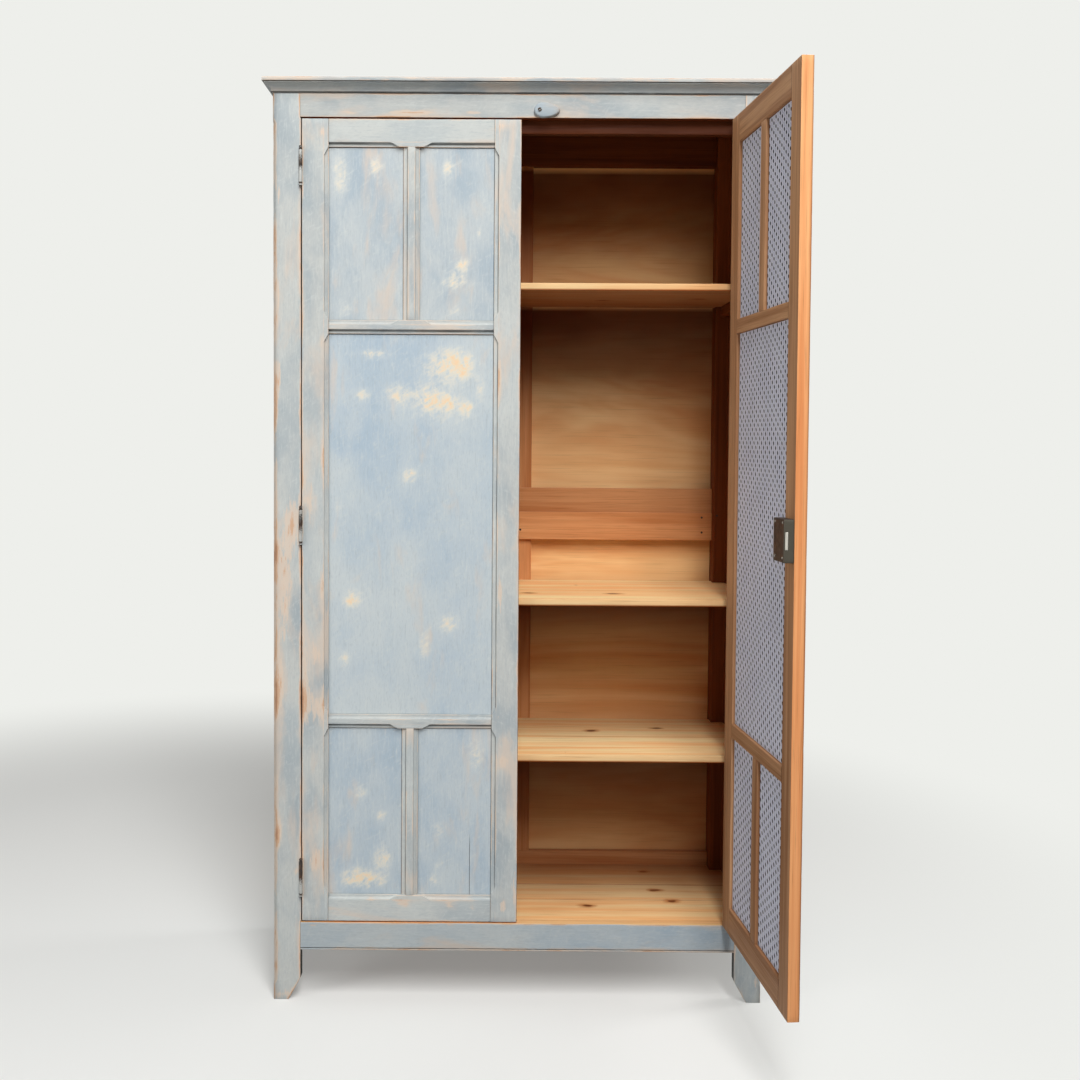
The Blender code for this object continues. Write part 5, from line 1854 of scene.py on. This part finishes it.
    def sides(self) -> None:
        """Each side: a panel, its two rails outside and the bearers inside."""
        low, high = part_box("left_side")
        outside, inside = self.side_faces
        between = self.between_posts()
        boards = ("floor_board", "lower_shelf", "middle_shelf", "upper_shelf")
        thin = (Side.PAINT, Side.BARE, Side.BARE, Side.PAINT)
        face = (Side.PAINT, Side.PAINT, Side.BARE, Side.PAINT)
        for hand, place, seed in (("left", HERE, 6.1), ("right", MIRRORED, 6.9)):
            flat = section(rectangle((low.y, high.y), (0.0, inside - outside), thin, 0.6 * MM))
            standing = Axes((outside, 0.0, 0.0), (0, 0, 1), (0, 1, 0), (1, 0, 0))
            panel = Bar(flat, plain_rows(low.z, high.z, 20.0 * MM), standing, seed, place=place)
            panel.tone, panel.wear, panel.nick = 0.7, 0.1, 0.0
            surfaces = [panel.surface()]
            top, bottom = self.side_rails
            for index, ends in enumerate(((high.z - top, high.z), (low.z, low.z + bottom))):
                shape = section(rectangle(ends, (0.0, self.side_rail_thick), face))
                rows = plain_rows(*between, 15.0 * MM)
                rail = Bar(shape, rows, side_bar(low.x), seed + 0.2 + index, place=place, end_round=0.3 * MM)
                surfaces.append(rail.surface())
            for index, board in enumerate(boards):
                under = extent(board, "z")[0] - CLEARANCE
                tall, wide = self.bearer
                shape = section(rectangle((under - tall, under), (0.0, wide), ALL_BARE, 1.5 * MM))
                rows = plain_rows(*between, 20.0 * MM)
                bearer = Bar(shape, rows, side_bar(inside + HAIR), seed + 0.5 + index, place=place)
                surfaces.append(bearer.surface())
            self.timber(f"{hand}_side", surfaces, self.palette.carcass_set, Slot.PAINTED)

    def back(self) -> None:
        """Back frame and sheet."""
        wood, dark = [self.palette.frame_wood] * 3, [self.palette.dark_wood] * 3
        # Both rails are darkened by the same amount; on the top rail, which stands in shadow under the
        # frieze, this and its shade-dark wood are painted shade.
        for node, seed, finishes in (("back_top_rail", 7.1, dark), ("back_bottom_rail", 7.3, wood)):
            rail = self.level(node, self.filling(node, ALL_BARE, 1.5 * MM), seed, grime=0.35)
            self.timber(node, [rail.surface()], finishes, Slot.BACK)
        low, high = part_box("back_middle_rail")
        tall, thick = high.z - low.z, high.y - low.y
        step, shallow = self.rail_step, self.rail_step_depth
        corners = [
            Corner(0.0, 0.0, Side.BARE, 1.2 * MM),
            Corner(step, 0.0, Side.BARE, 1.2 * MM),
            Corner(step, shallow, Side.BARE, 0.3 * MM, 0.0),
            Corner(tall, shallow, Side.BARE, 1.0 * MM),
            Corner(tall, thick, Side.BARE, 0.5 * MM),
            Corner(0.0, thick, Side.BARE, 0.5 * MM),
        ]
        surface = self.level("back_middle_rail", corners, 7.7).surface()
        surface.grime = surface.grime + 0.25 * (surface.points[:, 2] > low.z + step)
        self.timber("back_middle_rail", [surface], wood, Slot.BACK)
        low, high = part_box("back_centre_stile")
        shape = section(rectangle((0.0, high.x - low.x), (0.0, high.y - low.y), ALL_BARE, 1.5 * MM))
        stile = Bar(shape, plain_rows(low.z, high.z, self.pitch), upright(low.x, low.y), 7.9)
        # Painted shade below the boards, with a slight darkening all over.
        stile.end_round, stile.patina, stile.grime = 0.3 * MM, 0.95, 0.12
        self.timber("back_centre_stile", [stile.surface()], wood, Slot.BACK)
        low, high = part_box("back_sheet")
        thick = high.y - low.y - self.sheet_sunk
        shape = section(rectangle((0.0, high.z - low.z), (0.0, thick), ALL_BARE, 0.3 * MM))
        # The sheet takes painted shade below each board; its outside gets an even darkening further down.
        sheet = Bar(shape, plain_rows(low.x, high.x, 20.0 * MM), level_bar(low.y, low.z), 8.3, patina=0.97)
        sheet.end_round, sheet.nick, sheet.bow = 0.3 * MM, 0.0, HAIR
        surface = sheet.surface()
        outside = surface.points[:, 1] > (low.y + high.y) / 2
        surface.grime = np.where(outside, 0.22, surface.grime)
        finishes = [self.palette.back_wood] * 3
        add_piece("back_sheet_board", [surface], finishes, "carcass", Slot.BACK, "back_sheet")

    def boards(self) -> None:
        """Floor and shelves: sections run from side to side, drawn in round the posts at both ends."""
        joints = {"floor_board": (0.118, 0.212), "lower_shelf": (0.165,)}
        joints |= {"middle_shelf": (0.150,), "upper_shelf": (0.170,)}
        notch = -extent("front_left_post", "x")[1] - CLEARANCE
        front_notch, rear_notch = self.between_posts()
        step = 0.02 * MM
        for index, (node, splits) in enumerate(joints.items()):
            low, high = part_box(node)
            thick, depth = high.z - low.z, high.y - low.y
            wide = section(self.board_corners(0.0, depth, thick, splits))
            ends = (front_notch - low.y, rear_notch - low.y)
            drawn_in = section(self.board_corners(*ends, thick, splits), like=wide)
            outer = np.array([notch + step, (notch + high.x) / 2, high.x])
            inner = plain_rows(-notch, notch, self.pitch).station
            station = np.concatenate([-outer[::-1], inner, outer])
            weight = (np.abs(station) > notch + step / 2).astype(float)
            axes = Axes((0.0, low.y, high.z), (1, 0, 0), (0, 1, 0), (0, 0, -1))
            bar = Bar(wide, Rows(station, weight, 0 * weight), axes, 9.1 + 0.43 * index, [(drawn_in, weight)])
            bar.end_round, bar.bow, bar.nick = step / 2, 0.15 * MM, 0.4 * MM
            surface = bar.surface()
            y, z = surface.points[:, 1], surface.points[:, 2]
            # Darker towards the back, much more on the floor board, and along the front edge; the underside
            # is darkened as painted shade.
            board_darkening = 0.85 if node == "floor_board" else 0.10
            board_darkening = board_darkening * np.clip((y - low.y) / depth, 0, 1)
            board_darkening = board_darkening + 0.30 * (y < low.y + 2 * MM) + 0.75 * (z < low.z + 2 * MM)
            surface.grime = surface.grime + board_darkening
            add_piece(f"{node}_pine", [surface], [self.palette.pine] * 3, "carcass", Slot.SHELF, node)

    def board_corners(self, front: float, rear: float, thick: float, splits: Sequence[float]) -> list[Corner]:
        """Section of a board: top with a fine open joint at each split, rear, underside, front.

        Args:
            front: the front edge.
            rear: the rear edge.
            thick: the board's thickness.
            splits: places of the joints.

        Returns:
            Corners from the front's upper arris.
        """
        found = [Corner(front, 0.0, Side.BARE, 1.6 * MM)]
        half = self.joint_half
        for split in splits:
            for shift, deep, dirt in ((-half, 0.0, 0.5), (0.0, self.joint_depth, 1.0), (half, 0.0, 0.5)):
                found.append(Corner(split + shift, deep, Side.BARE, HAIR, 0.0, dirt))
        ends = ((rear, 0.0, 0.8 * MM), (rear, thick, 0.8 * MM), (front, thick, 1.2 * MM))
        return found + [Corner(a, d, Side.BARE, radius) for a, d, radius in ends]

    def build(self) -> None:
        """Every carcass piece."""
        self.posts()
        self.front_rails()
        self.cornice()
        self.sides()
        self.back()
        self.boards()


def turned(
    profile: Array, steps: int, place: Place, shift: Sequence[float], tone: float | Array, seed: float
) -> Surface:
    """A turned form: each profile point of radius and height goes round a circle about Z.

    Args:
        profile: radii and heights from one end of the axis to the other.
        steps: points round.
        place: where the drawing stands.
        shift: the axis's place in the drawing.
        tone: how grey the iron is, everywhere or at each profile point.
        seed: shifts its grain.

    Returns:
        The closed surface.
    """
    angle = np.linspace(0, 2 * math.pi, steps, endpoint=False)
    radius, height = profile[:, :1], profile[:, 1:]
    grid = stacked(radius * np.cos(angle), radius * np.sin(angle), height) + np.array(shift)
    film = np.broadcast_to(np.asarray(tone, float).reshape(-1, 1), grid.shape[:2]).reshape(-1)
    return grid_surface(grid, 0, grid + seed, 0 * grid[..., 0], place, tone=film)


def dome(centre: Sequence[float], radius: float, height: float, turn: Matrix, seed: float) -> Surface:
    """A low round head: rings of shrinking radius on a quarter circle, closed below.

    Args:
        centre: middle of the foot.
        radius: at the foot.
        height: of the crown.
        turn: from +Z to the way that the head faces.
        seed: of the grain.

    Returns:
        The head's surface.
    """
    angle = np.linspace(0, math.pi / 2, 6)[:-1]
    radii = np.concatenate([[radius], radius * np.cos(angle), [radius * 0.12]])
    heights = np.concatenate([[-0.3 * height], height * np.sin(angle), [height]])
    made = turned(stacked(radii, heights), 16, HERE, (0, 0, 0), 0.0, seed)
    made.points = made.points @ np.array(turn).T + np.array(centre)
    return made


FACING_FRONT = Matrix.Rotation(math.radians(90), 3, "X")
FACING_BACK = Matrix.Rotation(math.radians(-90), 3, "X")


@dataclass
class Hinges:
    """Six lift-off hinges: knuckles with ball finials, and leaves in the gap beside the doors."""

    palette: Palette
    knuckle: float = 3.6 * MM
    length: float = 66.0 * MM
    finial: float = 7.0 * MM
    leaf_thick: float = 1.2 * MM
    leaf_front: float = 1.5 * MM
    leaf_back: float = 22.0 * MM
    leaf_height: float = 70.0 * MM
    # The leaves get little grey film so that they read dark, painted shade in the gap beside the knuckle.
    leaf_tone: float = 0.1

    def half_profile(self, upward: float) -> tuple[Array, Array]:
        """One half from the parting up or down: barrel, ring, neck, ball, tip.

        Hands polish the barrels; the parting, the ring and the neck stay darker, as soiling and as painted
        shade in these creases.

        Args:
            upward: 1 for the upper half, -1 for the lower.

        Returns:
            Radius and height of each profile point, and how polished it is, lower where crease shade is
            painted.
        """
        shape = np.array(
            [
                (0.94, 0.00, 0.2), (1.0, 0.012, 0.4), (1.0, 0.94, 1.0), (0.97, 0.955, 0.4),
                (0.97, 0.965, 0.1), (1.04, 0.975, 0.5), (1.04, 1.0, 0.3), (0.72, 1.012, 0.0),
                (0.70, 1.05, 0.1), (0.80, 1.075, 0.5), (0.93, 1.11, 0.7), (0.92, 1.145, 0.6),
                (0.76, 1.18, 0.3), (0.45, 1.205, 0.1), (0.10, 1.212, 0.1),
            ]
        )
        wide, tall, polish_and_crease_shade = shape.T
        half = self.length / 2
        heights = np.where(tall <= 1.0, tall * half, half + (tall - 1.0) / (tall[-1] - 1.0) * self.finial)
        return stacked(wide * self.knuckle, upward * (CLEARANCE / 2 + heights)), polish_and_crease_shade

    def leaf(self, side: float, pin: Sequence[float], place: Place, seed: float) -> Surface:
        """A thin plate beside the pin, its front edge tucked behind the knuckle.

        Args:
            side: 1 for the door's side of the pin, -1 for the post's.
            pin: middle of the pin.
            place: where the drawing stands.
            seed: its own seed.

        Returns:
            The plate's closed surface.
        """
        near = CLEARANCE / 2
        across = (side * near, side * (near + self.leaf_thick))
        shape = section(rectangle(across, (self.leaf_front, self.leaf_back), ALL_PAINT, 0.3 * MM))
        rows = plain_rows(pin[2] - self.leaf_height / 2, pin[2] + self.leaf_height / 2, 20.0 * MM)
        bar = Bar(shape, rows, upright(pin[0], pin[1]), seed, place=place, cap_side=Side.PAINT)
        bar.bow, bar.nick, bar.end_round, bar.tone = 0.0, 0.0, 0.3 * MM, self.leaf_tone
        return bar.surface()

    def build(self, open_place: Place) -> None:
        """All twelve halves, each in the place of its own body.

        Args:
            open_place: where the open door stands.
        """
        x, y = joint("left_door_hinge")["pos_m"][:2]
        places = {Hand.LEFT: (HERE, HERE), Hand.RIGHT: (MIRRORED, open_place)}
        tones = {"low": (0.95, 0.12), "middle": (0.85, 0.60), "top": (1.10, 0.72)}
        for level, level_tones in tones.items():
            top, foot = extent(f"left_door_hinge_{level}", "z")[1], extent(f"left_post_hinge_{level}", "z")[0]
            pin = (x, y, (top + foot) / 2)
            for hand, hand_places in places.items():
                seed = pin[2] + (hand is Hand.RIGHT)
                bodies = (("post", "carcass", -1.0, 0.0), ("door", f"{hand.value}_door", 1.0, 0.4))
                for (kind, body, upward, shift), place, tone in zip(bodies, hand_places, level_tones):
                    profile, polish_and_crease_shade = self.half_profile(upward)
                    barrel = turned(profile, 28, place, pin, tone * polish_and_crease_shade, seed + shift)
                    node = f"{hand.value}_{kind}_hinge_{level}"
                    surfaces = [barrel, self.leaf(upward, pin, place, seed)]
                    add_piece(f"{node}_iron", surfaces, [self.palette.hinge_iron], body, Slot.HINGE, node)


@dataclass
class RimLock:
    """Iron lock on the open door's free stile: case, edge plate, rivets and a bright bolt."""

    palette: Palette
    place: Place
    door: Door
    width: float = 60.0 * MM
    height: float = 73.0 * MM
    depth: float = 18.0 * MM
    bolt_length: float = 45.0 * MM
    bolt_height: float = 30.0 * MM
    bolt_thick: float = 5.5 * MM
    wall: float = 2.5 * MM
    rivets_along: Pair = (8.0 * MM, 51.0 * MM)
    rivets_inset: Pair = (8.0 * MM, 6.0 * MM)
    rivet: Pair = (2.6 * MM, 1.2 * MM)

    def __post_init__(self) -> None:
        """Find the lock's middle, the door's free edge, and the bolt's front within the case."""
        self.centre = sum(extent("lock_case", "z")) / 2
        self.free, self.back = self.door.free_edge, self.door.back + CLEARANCE
        self.bolt_front = self.depth - self.wall - self.bolt_thick

    def build(self) -> None:
        """Case with a mouth for the bolt, its rivets, and the bolt."""
        iron = [self.palette.lock_iron, self.palette.steel]
        add_piece("lock_case_iron", [self.case(), *self.rivets()], iron, "right_door", Slot.LOCK, "lock_case")
        front, half = self.back + self.bolt_front, self.bolt_height / 2
        heights = (self.centre - half, self.centre + half)
        shape = section(rectangle((front, front + self.bolt_thick), heights, ALL_PAINT, 0.6 * MM))
        axes = Axes((0.0, 0.0, 0.0), (1, 0, 0), (0, 1, 0), (0, 0, 1))
        rows = plain_rows(self.free - self.bolt_length, self.free, 5.0 * MM)
        bolt = Bar(shape, rows, axes, 11.3, place=self.place, tone=0.8, cap_side=Side.PAINT)
        bolt.bow, bolt.nick = 0.0, 0.1 * MM
        steel = [self.palette.steel]
        add_piece("lock_bolt_steel", [bolt.surface()], steel, "lock_bolt", Slot.BOLT, "lock_bolt")

    def case(self) -> Surface:
        """The case: a section in plan with a mouth at the edge, carried up and closed above the bolt.

        Returns:
            The case's surface.
        """
        shut = section(self.case_corners(HAIR), 10.0 * MM)
        mouth = section(self.case_corners(self.bolt_length + CLEARANCE), like=shut)
        half, step = self.bolt_height / 2 + CLEARANCE, 0.02 * MM
        marks = (self.centre + sign * (half + more) for sign in (-1, 1) for more in (0.0, step))
        rows = plain_rows(self.centre - self.height / 2, self.centre + self.height / 2, 6.0 * MM, *marks)
        weight = (np.abs(rows.station - self.centre) < half + step / 2).astype(float)
        axes = Axes((self.free, self.back, 0.0), (0, 0, 1), (-1, 0, 0), (0, 1, 0))
        bar = Bar(shut, rows, axes, 11.1, [(mouth, weight)], place=self.place, cap_side=Side.PAINT)
        bar.bow, bar.nick, bar.end_round = 0.1 * MM, 0.3 * MM, 1.5 * MM
        surface = bar.surface()
        surface.tone = 0.85 * np.clip(1 - (self.free - bar.drawn[:, 0]) / (2 * MM), 0, 1)
        return surface

    def case_corners(self, mouth: float) -> list[Corner]:
        """Plan of the case from the free edge inwards, with a mouth of the given depth.

        Args:
            mouth: depth of the mouth.

        Returns:
            The section's corners in order.
        """
        near, far = self.bolt_front - CLEARANCE, self.bolt_front + self.bolt_thick + CLEARANCE
        found = rectangle((0.0, self.width), (0.0, self.depth), ALL_PAINT, 1.5 * MM)
        edges = ((0.0, far), (mouth, far), (mouth, near), (0.0, near))
        return found + [Corner(a, d, Side.PAINT, HAIR, 0.0) for a, d in edges]

    def rivets(self) -> list[Surface]:
        """Four rivet heads on the cover, near its corners.

        Returns:
            A surface for each head.
        """
        low, high = self.rivets_inset
        heights = (self.centre - self.height / 2 + low, self.centre + self.height / 2 - high)
        heads = []
        for along in self.rivets_along:
            for height in heights:
                spot = (self.free - along, self.back + self.depth, height)
                head = dome(spot, *self.rivet, FACING_BACK, along * 40)
                head.points = self.place.of(head.points)
                head.slots = head.slots + 1
                heads.append(head)
        return heads


@dataclass
class TurnButton:
    """The egg-shaped button on the frieze and its slotted screw."""

    palette: Palette
    length: float = 51.6 * MM
    height: float = 30.4 * MM
    heel: float = 11.5 * MM
    belly: float = 17.8 * MM
    steps: int = 64
    screw_radius: float = 4.0 * MM
    screw_tilt: float = 0.5
    slot_angle: float = 0.16

    def build(self) -> None:
        """The button: rings of the egg outline, drawn in towards a soft front face; then its screw."""
        pivot = np.array(joint("turn_button_screw")["pos_m"])
        angle = np.linspace(0, 2 * math.pi, self.steps, endpoint=False)
        reach = np.where(np.cos(angle) > 0, self.length - self.belly, self.belly)
        across = self.belly - self.heel + reach * np.cos(angle)
        outline = stacked(across, self.height / 2 * np.sin(angle))
        middle = np.array([self.belly - self.heel + 5 * MM, 0.0])
        turn = np.linspace(0, math.pi / 2, 8)
        inset = np.concatenate([[0.05, 0.01, 0.0], 0.20 * (1 - np.cos(turn)), [0.4, 0.65, 0.9, 0.985]])
        front = np.concatenate([[0.3, 0.7, 1.4], 2.2 + 6.0 * np.sin(turn), [8.55, 8.9, 9.1, 9.1]]) * MM
        rings = outline + inset[:, None, None] * (middle - outline)
        grid = stacked(rings[..., 0], -front[:, None], rings[..., 1]) + pivot
        keen = 0.34 * np.exp(-((front - 4 * MM) ** 2) / (3 * MM) ** 2)
        worn = np.repeat(keen, self.steps)
        button = grid_surface(grid, 0, grid + 12.0, worn, tone=0.9, grime=0.24)
        finishes = [self.palette.paint, self.palette.lock_iron]
        surfaces = [button, *self.screw(pivot)]
        add_piece("turn_button_painted", surfaces, finishes, "turn_button", Slot.PAINTED, "turn_button")

    def screw(self, pivot: Array) -> list[Surface]:
        """A countersunk head with a raised half on each side of its slot.

        Args:
            pivot: the screw's place.

        Returns:
            The two halves.
        """
        angle = np.linspace(self.slot_angle, math.pi - self.slot_angle, 14)
        heights = np.array([8.2, 9.3, 9.75, 9.9]) * MM
        shares = np.array([1.0, 1.0, 0.9, 0.5])
        cos, sin = math.cos(self.screw_tilt), math.sin(self.screw_tilt)
        made = []
        for sign in (1.0, -1.0):
            arc = self.screw_radius * stacked(np.cos(angle), sign * np.sin(angle))
            centre = np.array([0.0, sign * 1.7 * MM])
            rings = (centre + shares[:, None, None] * (arc - centre)) @ np.array([[cos, sin], [-sin, cos]])
            grid = stacked(rings[..., 0], -heights[:, None], rings[..., 1]) + pivot
            made.append(grid_surface(grid, 1, grid, 0 * grid[..., 0], cap_slot=1, tone=0.45))
        return made


@dataclass
class Nails:
    """Nail heads that hold the back's middle rail and its sheet."""

    palette: Palette
    rail_head: Pair = (2.4 * MM, 0.7 * MM)
    sheet_head: Pair = (1.9 * MM, 0.5 * MM)
    inset: float = 16.0 * MM

    def group(self, name: str, places: Sequence[Triple], head: Pair, turn: Matrix) -> None:
        """One group of separate heads."""
        heads = [dome(place, *head, turn, index) for index, place in enumerate(places)]
        add_piece(name, heads, [self.palette.lock_iron], "carcass", Slot.LOCK)

    def build(self) -> None:
        """Heads on the back frame's inner faces, and along the sheet's edges and middle outside."""
        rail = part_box("back_middle_rail")[0]
        post_face = extent("rear_right_post", "y")[0]
        marks = ((-0.425, 0.018), (-0.425, 0.052), (0.418, 0.018), (0.418, 0.052))
        marks += ((0.004, 0.022), (-0.01, 0.046))
        places = [(x, rail.y, rail.z + up) for x, up in marks]
        places += [(0.449, post_face, 0.972), (-0.449, post_face, 0.975)]
        self.group("back_rail_nails", places, self.rail_head, FACING_FRONT)
        low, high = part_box("back_sheet")
        half, face = high.x - self.inset, high.y - Carcass.sheet_sunk
        ends = (low.z + self.inset, high.z - self.inset)
        places = [(x, face, z) for x in (-half, 0.0, half) for z in np.linspace(*ends, 13)]
        places += [(x, face, z) for z in ends for x in (-0.33, -0.22, -0.11, 0.11, 0.22, 0.33)]
        self.group("back_sheet_nails", places, self.sheet_head, FACING_BACK)


@dataclass(frozen=True)
class Lamp:
    """A soft area lamp aimed at a point."""

    name: str
    place: Triple
    aim: Triple
    size: Pair
    power: float
    spread: float = 180.0

    def build(self) -> None:
        """Put the lamp in the scene."""
        data = bpy.data.lights.new(self.name, "AREA")
        data.shape = "RECTANGLE"
        data.size, data.size_y = self.size
        data.energy, data.spread = self.power, math.radians(self.spread)
        obj = placed(self.name, data)
        obj.location = self.place
        obj.rotation_euler = (Vector(self.aim) - Vector(self.place)).to_track_quat("-Z", "Y").to_euler()


LAMPS = (
    Lamp("key", (0.6, -3.5, 4.9), (0.0, 0.1, 0.9), (1.5, 4.2), 325.0),
    Lamp("fill", (-3.0, -1.8, 1.3), (0.45, -0.2, 0.95), (1.4, 1.4), 34.0),
    Lamp("side", (3.4, 1.0, 1.8), (0.3, 0.2, 0.9), (0.9, 1.4), 7.0, 70.0),
    Lamp("back", (-0.4, 3.6, 1.1), (0.0, 0.3, 0.95), (1.4, 1.6), 2.6, 46.0),
)


@dataclass
class Studio:
    """Pale floor that fades into a pale room, soft lamps and the photograph's camera."""

    pale: Colour = srgb(238, 239, 235)
    floor_reach: float = 40.0
    floor_paint: Colour = (0.84, 0.84, 0.82, 1.0)
    floor_bounce: Colour = (0.30, 0.30, 0.30, 1.0)
    near_share: float = 0.26
    shade_centre: Triple = (-0.75, 0.7, 0.0)
    fade: Pair = (1.0, 2.6)
    ambient: float = 0.10
    camera_turn: Triple = (0.271, -2.334, -0.350)
    camera_place: Triple = (-0.0231, -2.5825, 1.1475)
    photo_size: float = 1080.0
    focal: float = 1290.5
    centre: Pair = (502.53, 489.42)
    sensor: float = 36.0

    def floor(self) -> None:
        """One level quad with the paper's material."""
        reach = self.floor_reach
        corners = [(-reach, -reach, 0.0), (reach, -reach, 0.0), (reach, reach, 0.0), (-reach, reach, 0.0)]
        mesh = bpy.data.meshes.new("studio_floor")
        mesh.from_pydata(corners, [], [(0, 1, 2, 3)])
        mesh.materials.append(self.floor_material())
        placed("studio_floor", mesh)

    def floor_material(self) -> Material:
        """Matt paper that keeps shadows near the object and is plain and pale far from it.

        Returns:
            The floor's material.
        """
        g = Graph(bpy.data.materials.new("pale_paper"))
        g.tree.nodes.clear()
        seen = g.seen()
        paper = g.mix(seen, self.floor_bounce, self.floor_paint)
        matt = g.node("ShaderNodeBsdfDiffuse", {}, {"Color": paper})
        glow = g.node("ShaderNodeEmission", {}, {"Color": self.pale, "Strength": 1.0})
        spot = {0: g.node("ShaderNodeNewGeometry").outputs["Position"], 1: self.shade_centre}
        away = g.node("ShaderNodeVectorMath", {"operation": "DISTANCE"}, spot).outputs["Value"]
        share = g.times(seen, g.smooth(away, *self.fade, self.near_share, 1.0))
        g.blend(share, matt, glow, g.node("ShaderNodeOutputMaterial"))
        return g.owner

    def world(self) -> None:
        """Even soft light from all round, pale where it is looked at."""
        g = Graph(bpy.data.worlds.new("soft_room"))
        soft = g.tree.nodes["Background"]
        g.feed(soft.inputs["Color"], (1.0, 1.0, 1.0, 1.0))
        g.feed(soft.inputs["Strength"], self.ambient)
        plain = g.node("ShaderNodeBackground", {}, {"Color": self.pale, "Strength": 1.0})
        g.blend(g.seen(), soft, plain, g.tree.nodes["World Output"])
        bpy.context.scene.world = g.owner

    def camera(self) -> None:
        """The camera fitted to the photograph's lines, with its off-centre framing as shift."""
        yaw, pitch, roll = (math.radians(angle) for angle in self.camera_turn)
        turn = Matrix.Rotation(yaw, 3, "Z") @ Matrix.Rotation(pitch, 3, "X") @ Matrix.Rotation(roll, 3, "Y")
        right, ahead, up = turn.col
        data = bpy.data.cameras.new("camera")
        data.sensor_width = self.sensor
        data.lens = self.focal / self.photo_size * self.sensor
        data.shift_x = 0.5 - self.centre[0] / self.photo_size
        data.shift_y = self.centre[1] / self.photo_size - 0.5
        obj = placed("camera", data)
        stand = Matrix((right, up, -ahead)).transposed().to_4x4()
        stand.translation = Vector(self.camera_place) + Vector((0.0, extent("front_left_post", "y")[0], 0.0))
        obj.matrix_world = stand
        bpy.context.scene.camera = obj

    def build(self) -> None:
        """Stage, light and camera."""
        self.floor()
        self.world()
        for lamp in LAMPS:
            lamp.build()
        self.camera()
        bpy.context.scene.view_settings.view_transform = "Standard"


def main() -> None:
    """Build the cupboard's looks and its studio."""
    logging.basicConfig(level=logging.INFO, format="%(message)s")
    palette = Palette()
    open_place = across_place("right_door_hinge")
    Carcass(palette).build()
    Door(Hand.LEFT, palette, HERE, 1.0).build()
    right = Door(Hand.RIGHT, palette, open_place, 21.0)
    right.build()
    Hinges(palette).build(open_place)
    RimLock(palette, open_place, right).build()
    TurnButton(palette).build()
    Nails(palette).build()
    Studio().build()


if __name__ == "__main__":
    main()
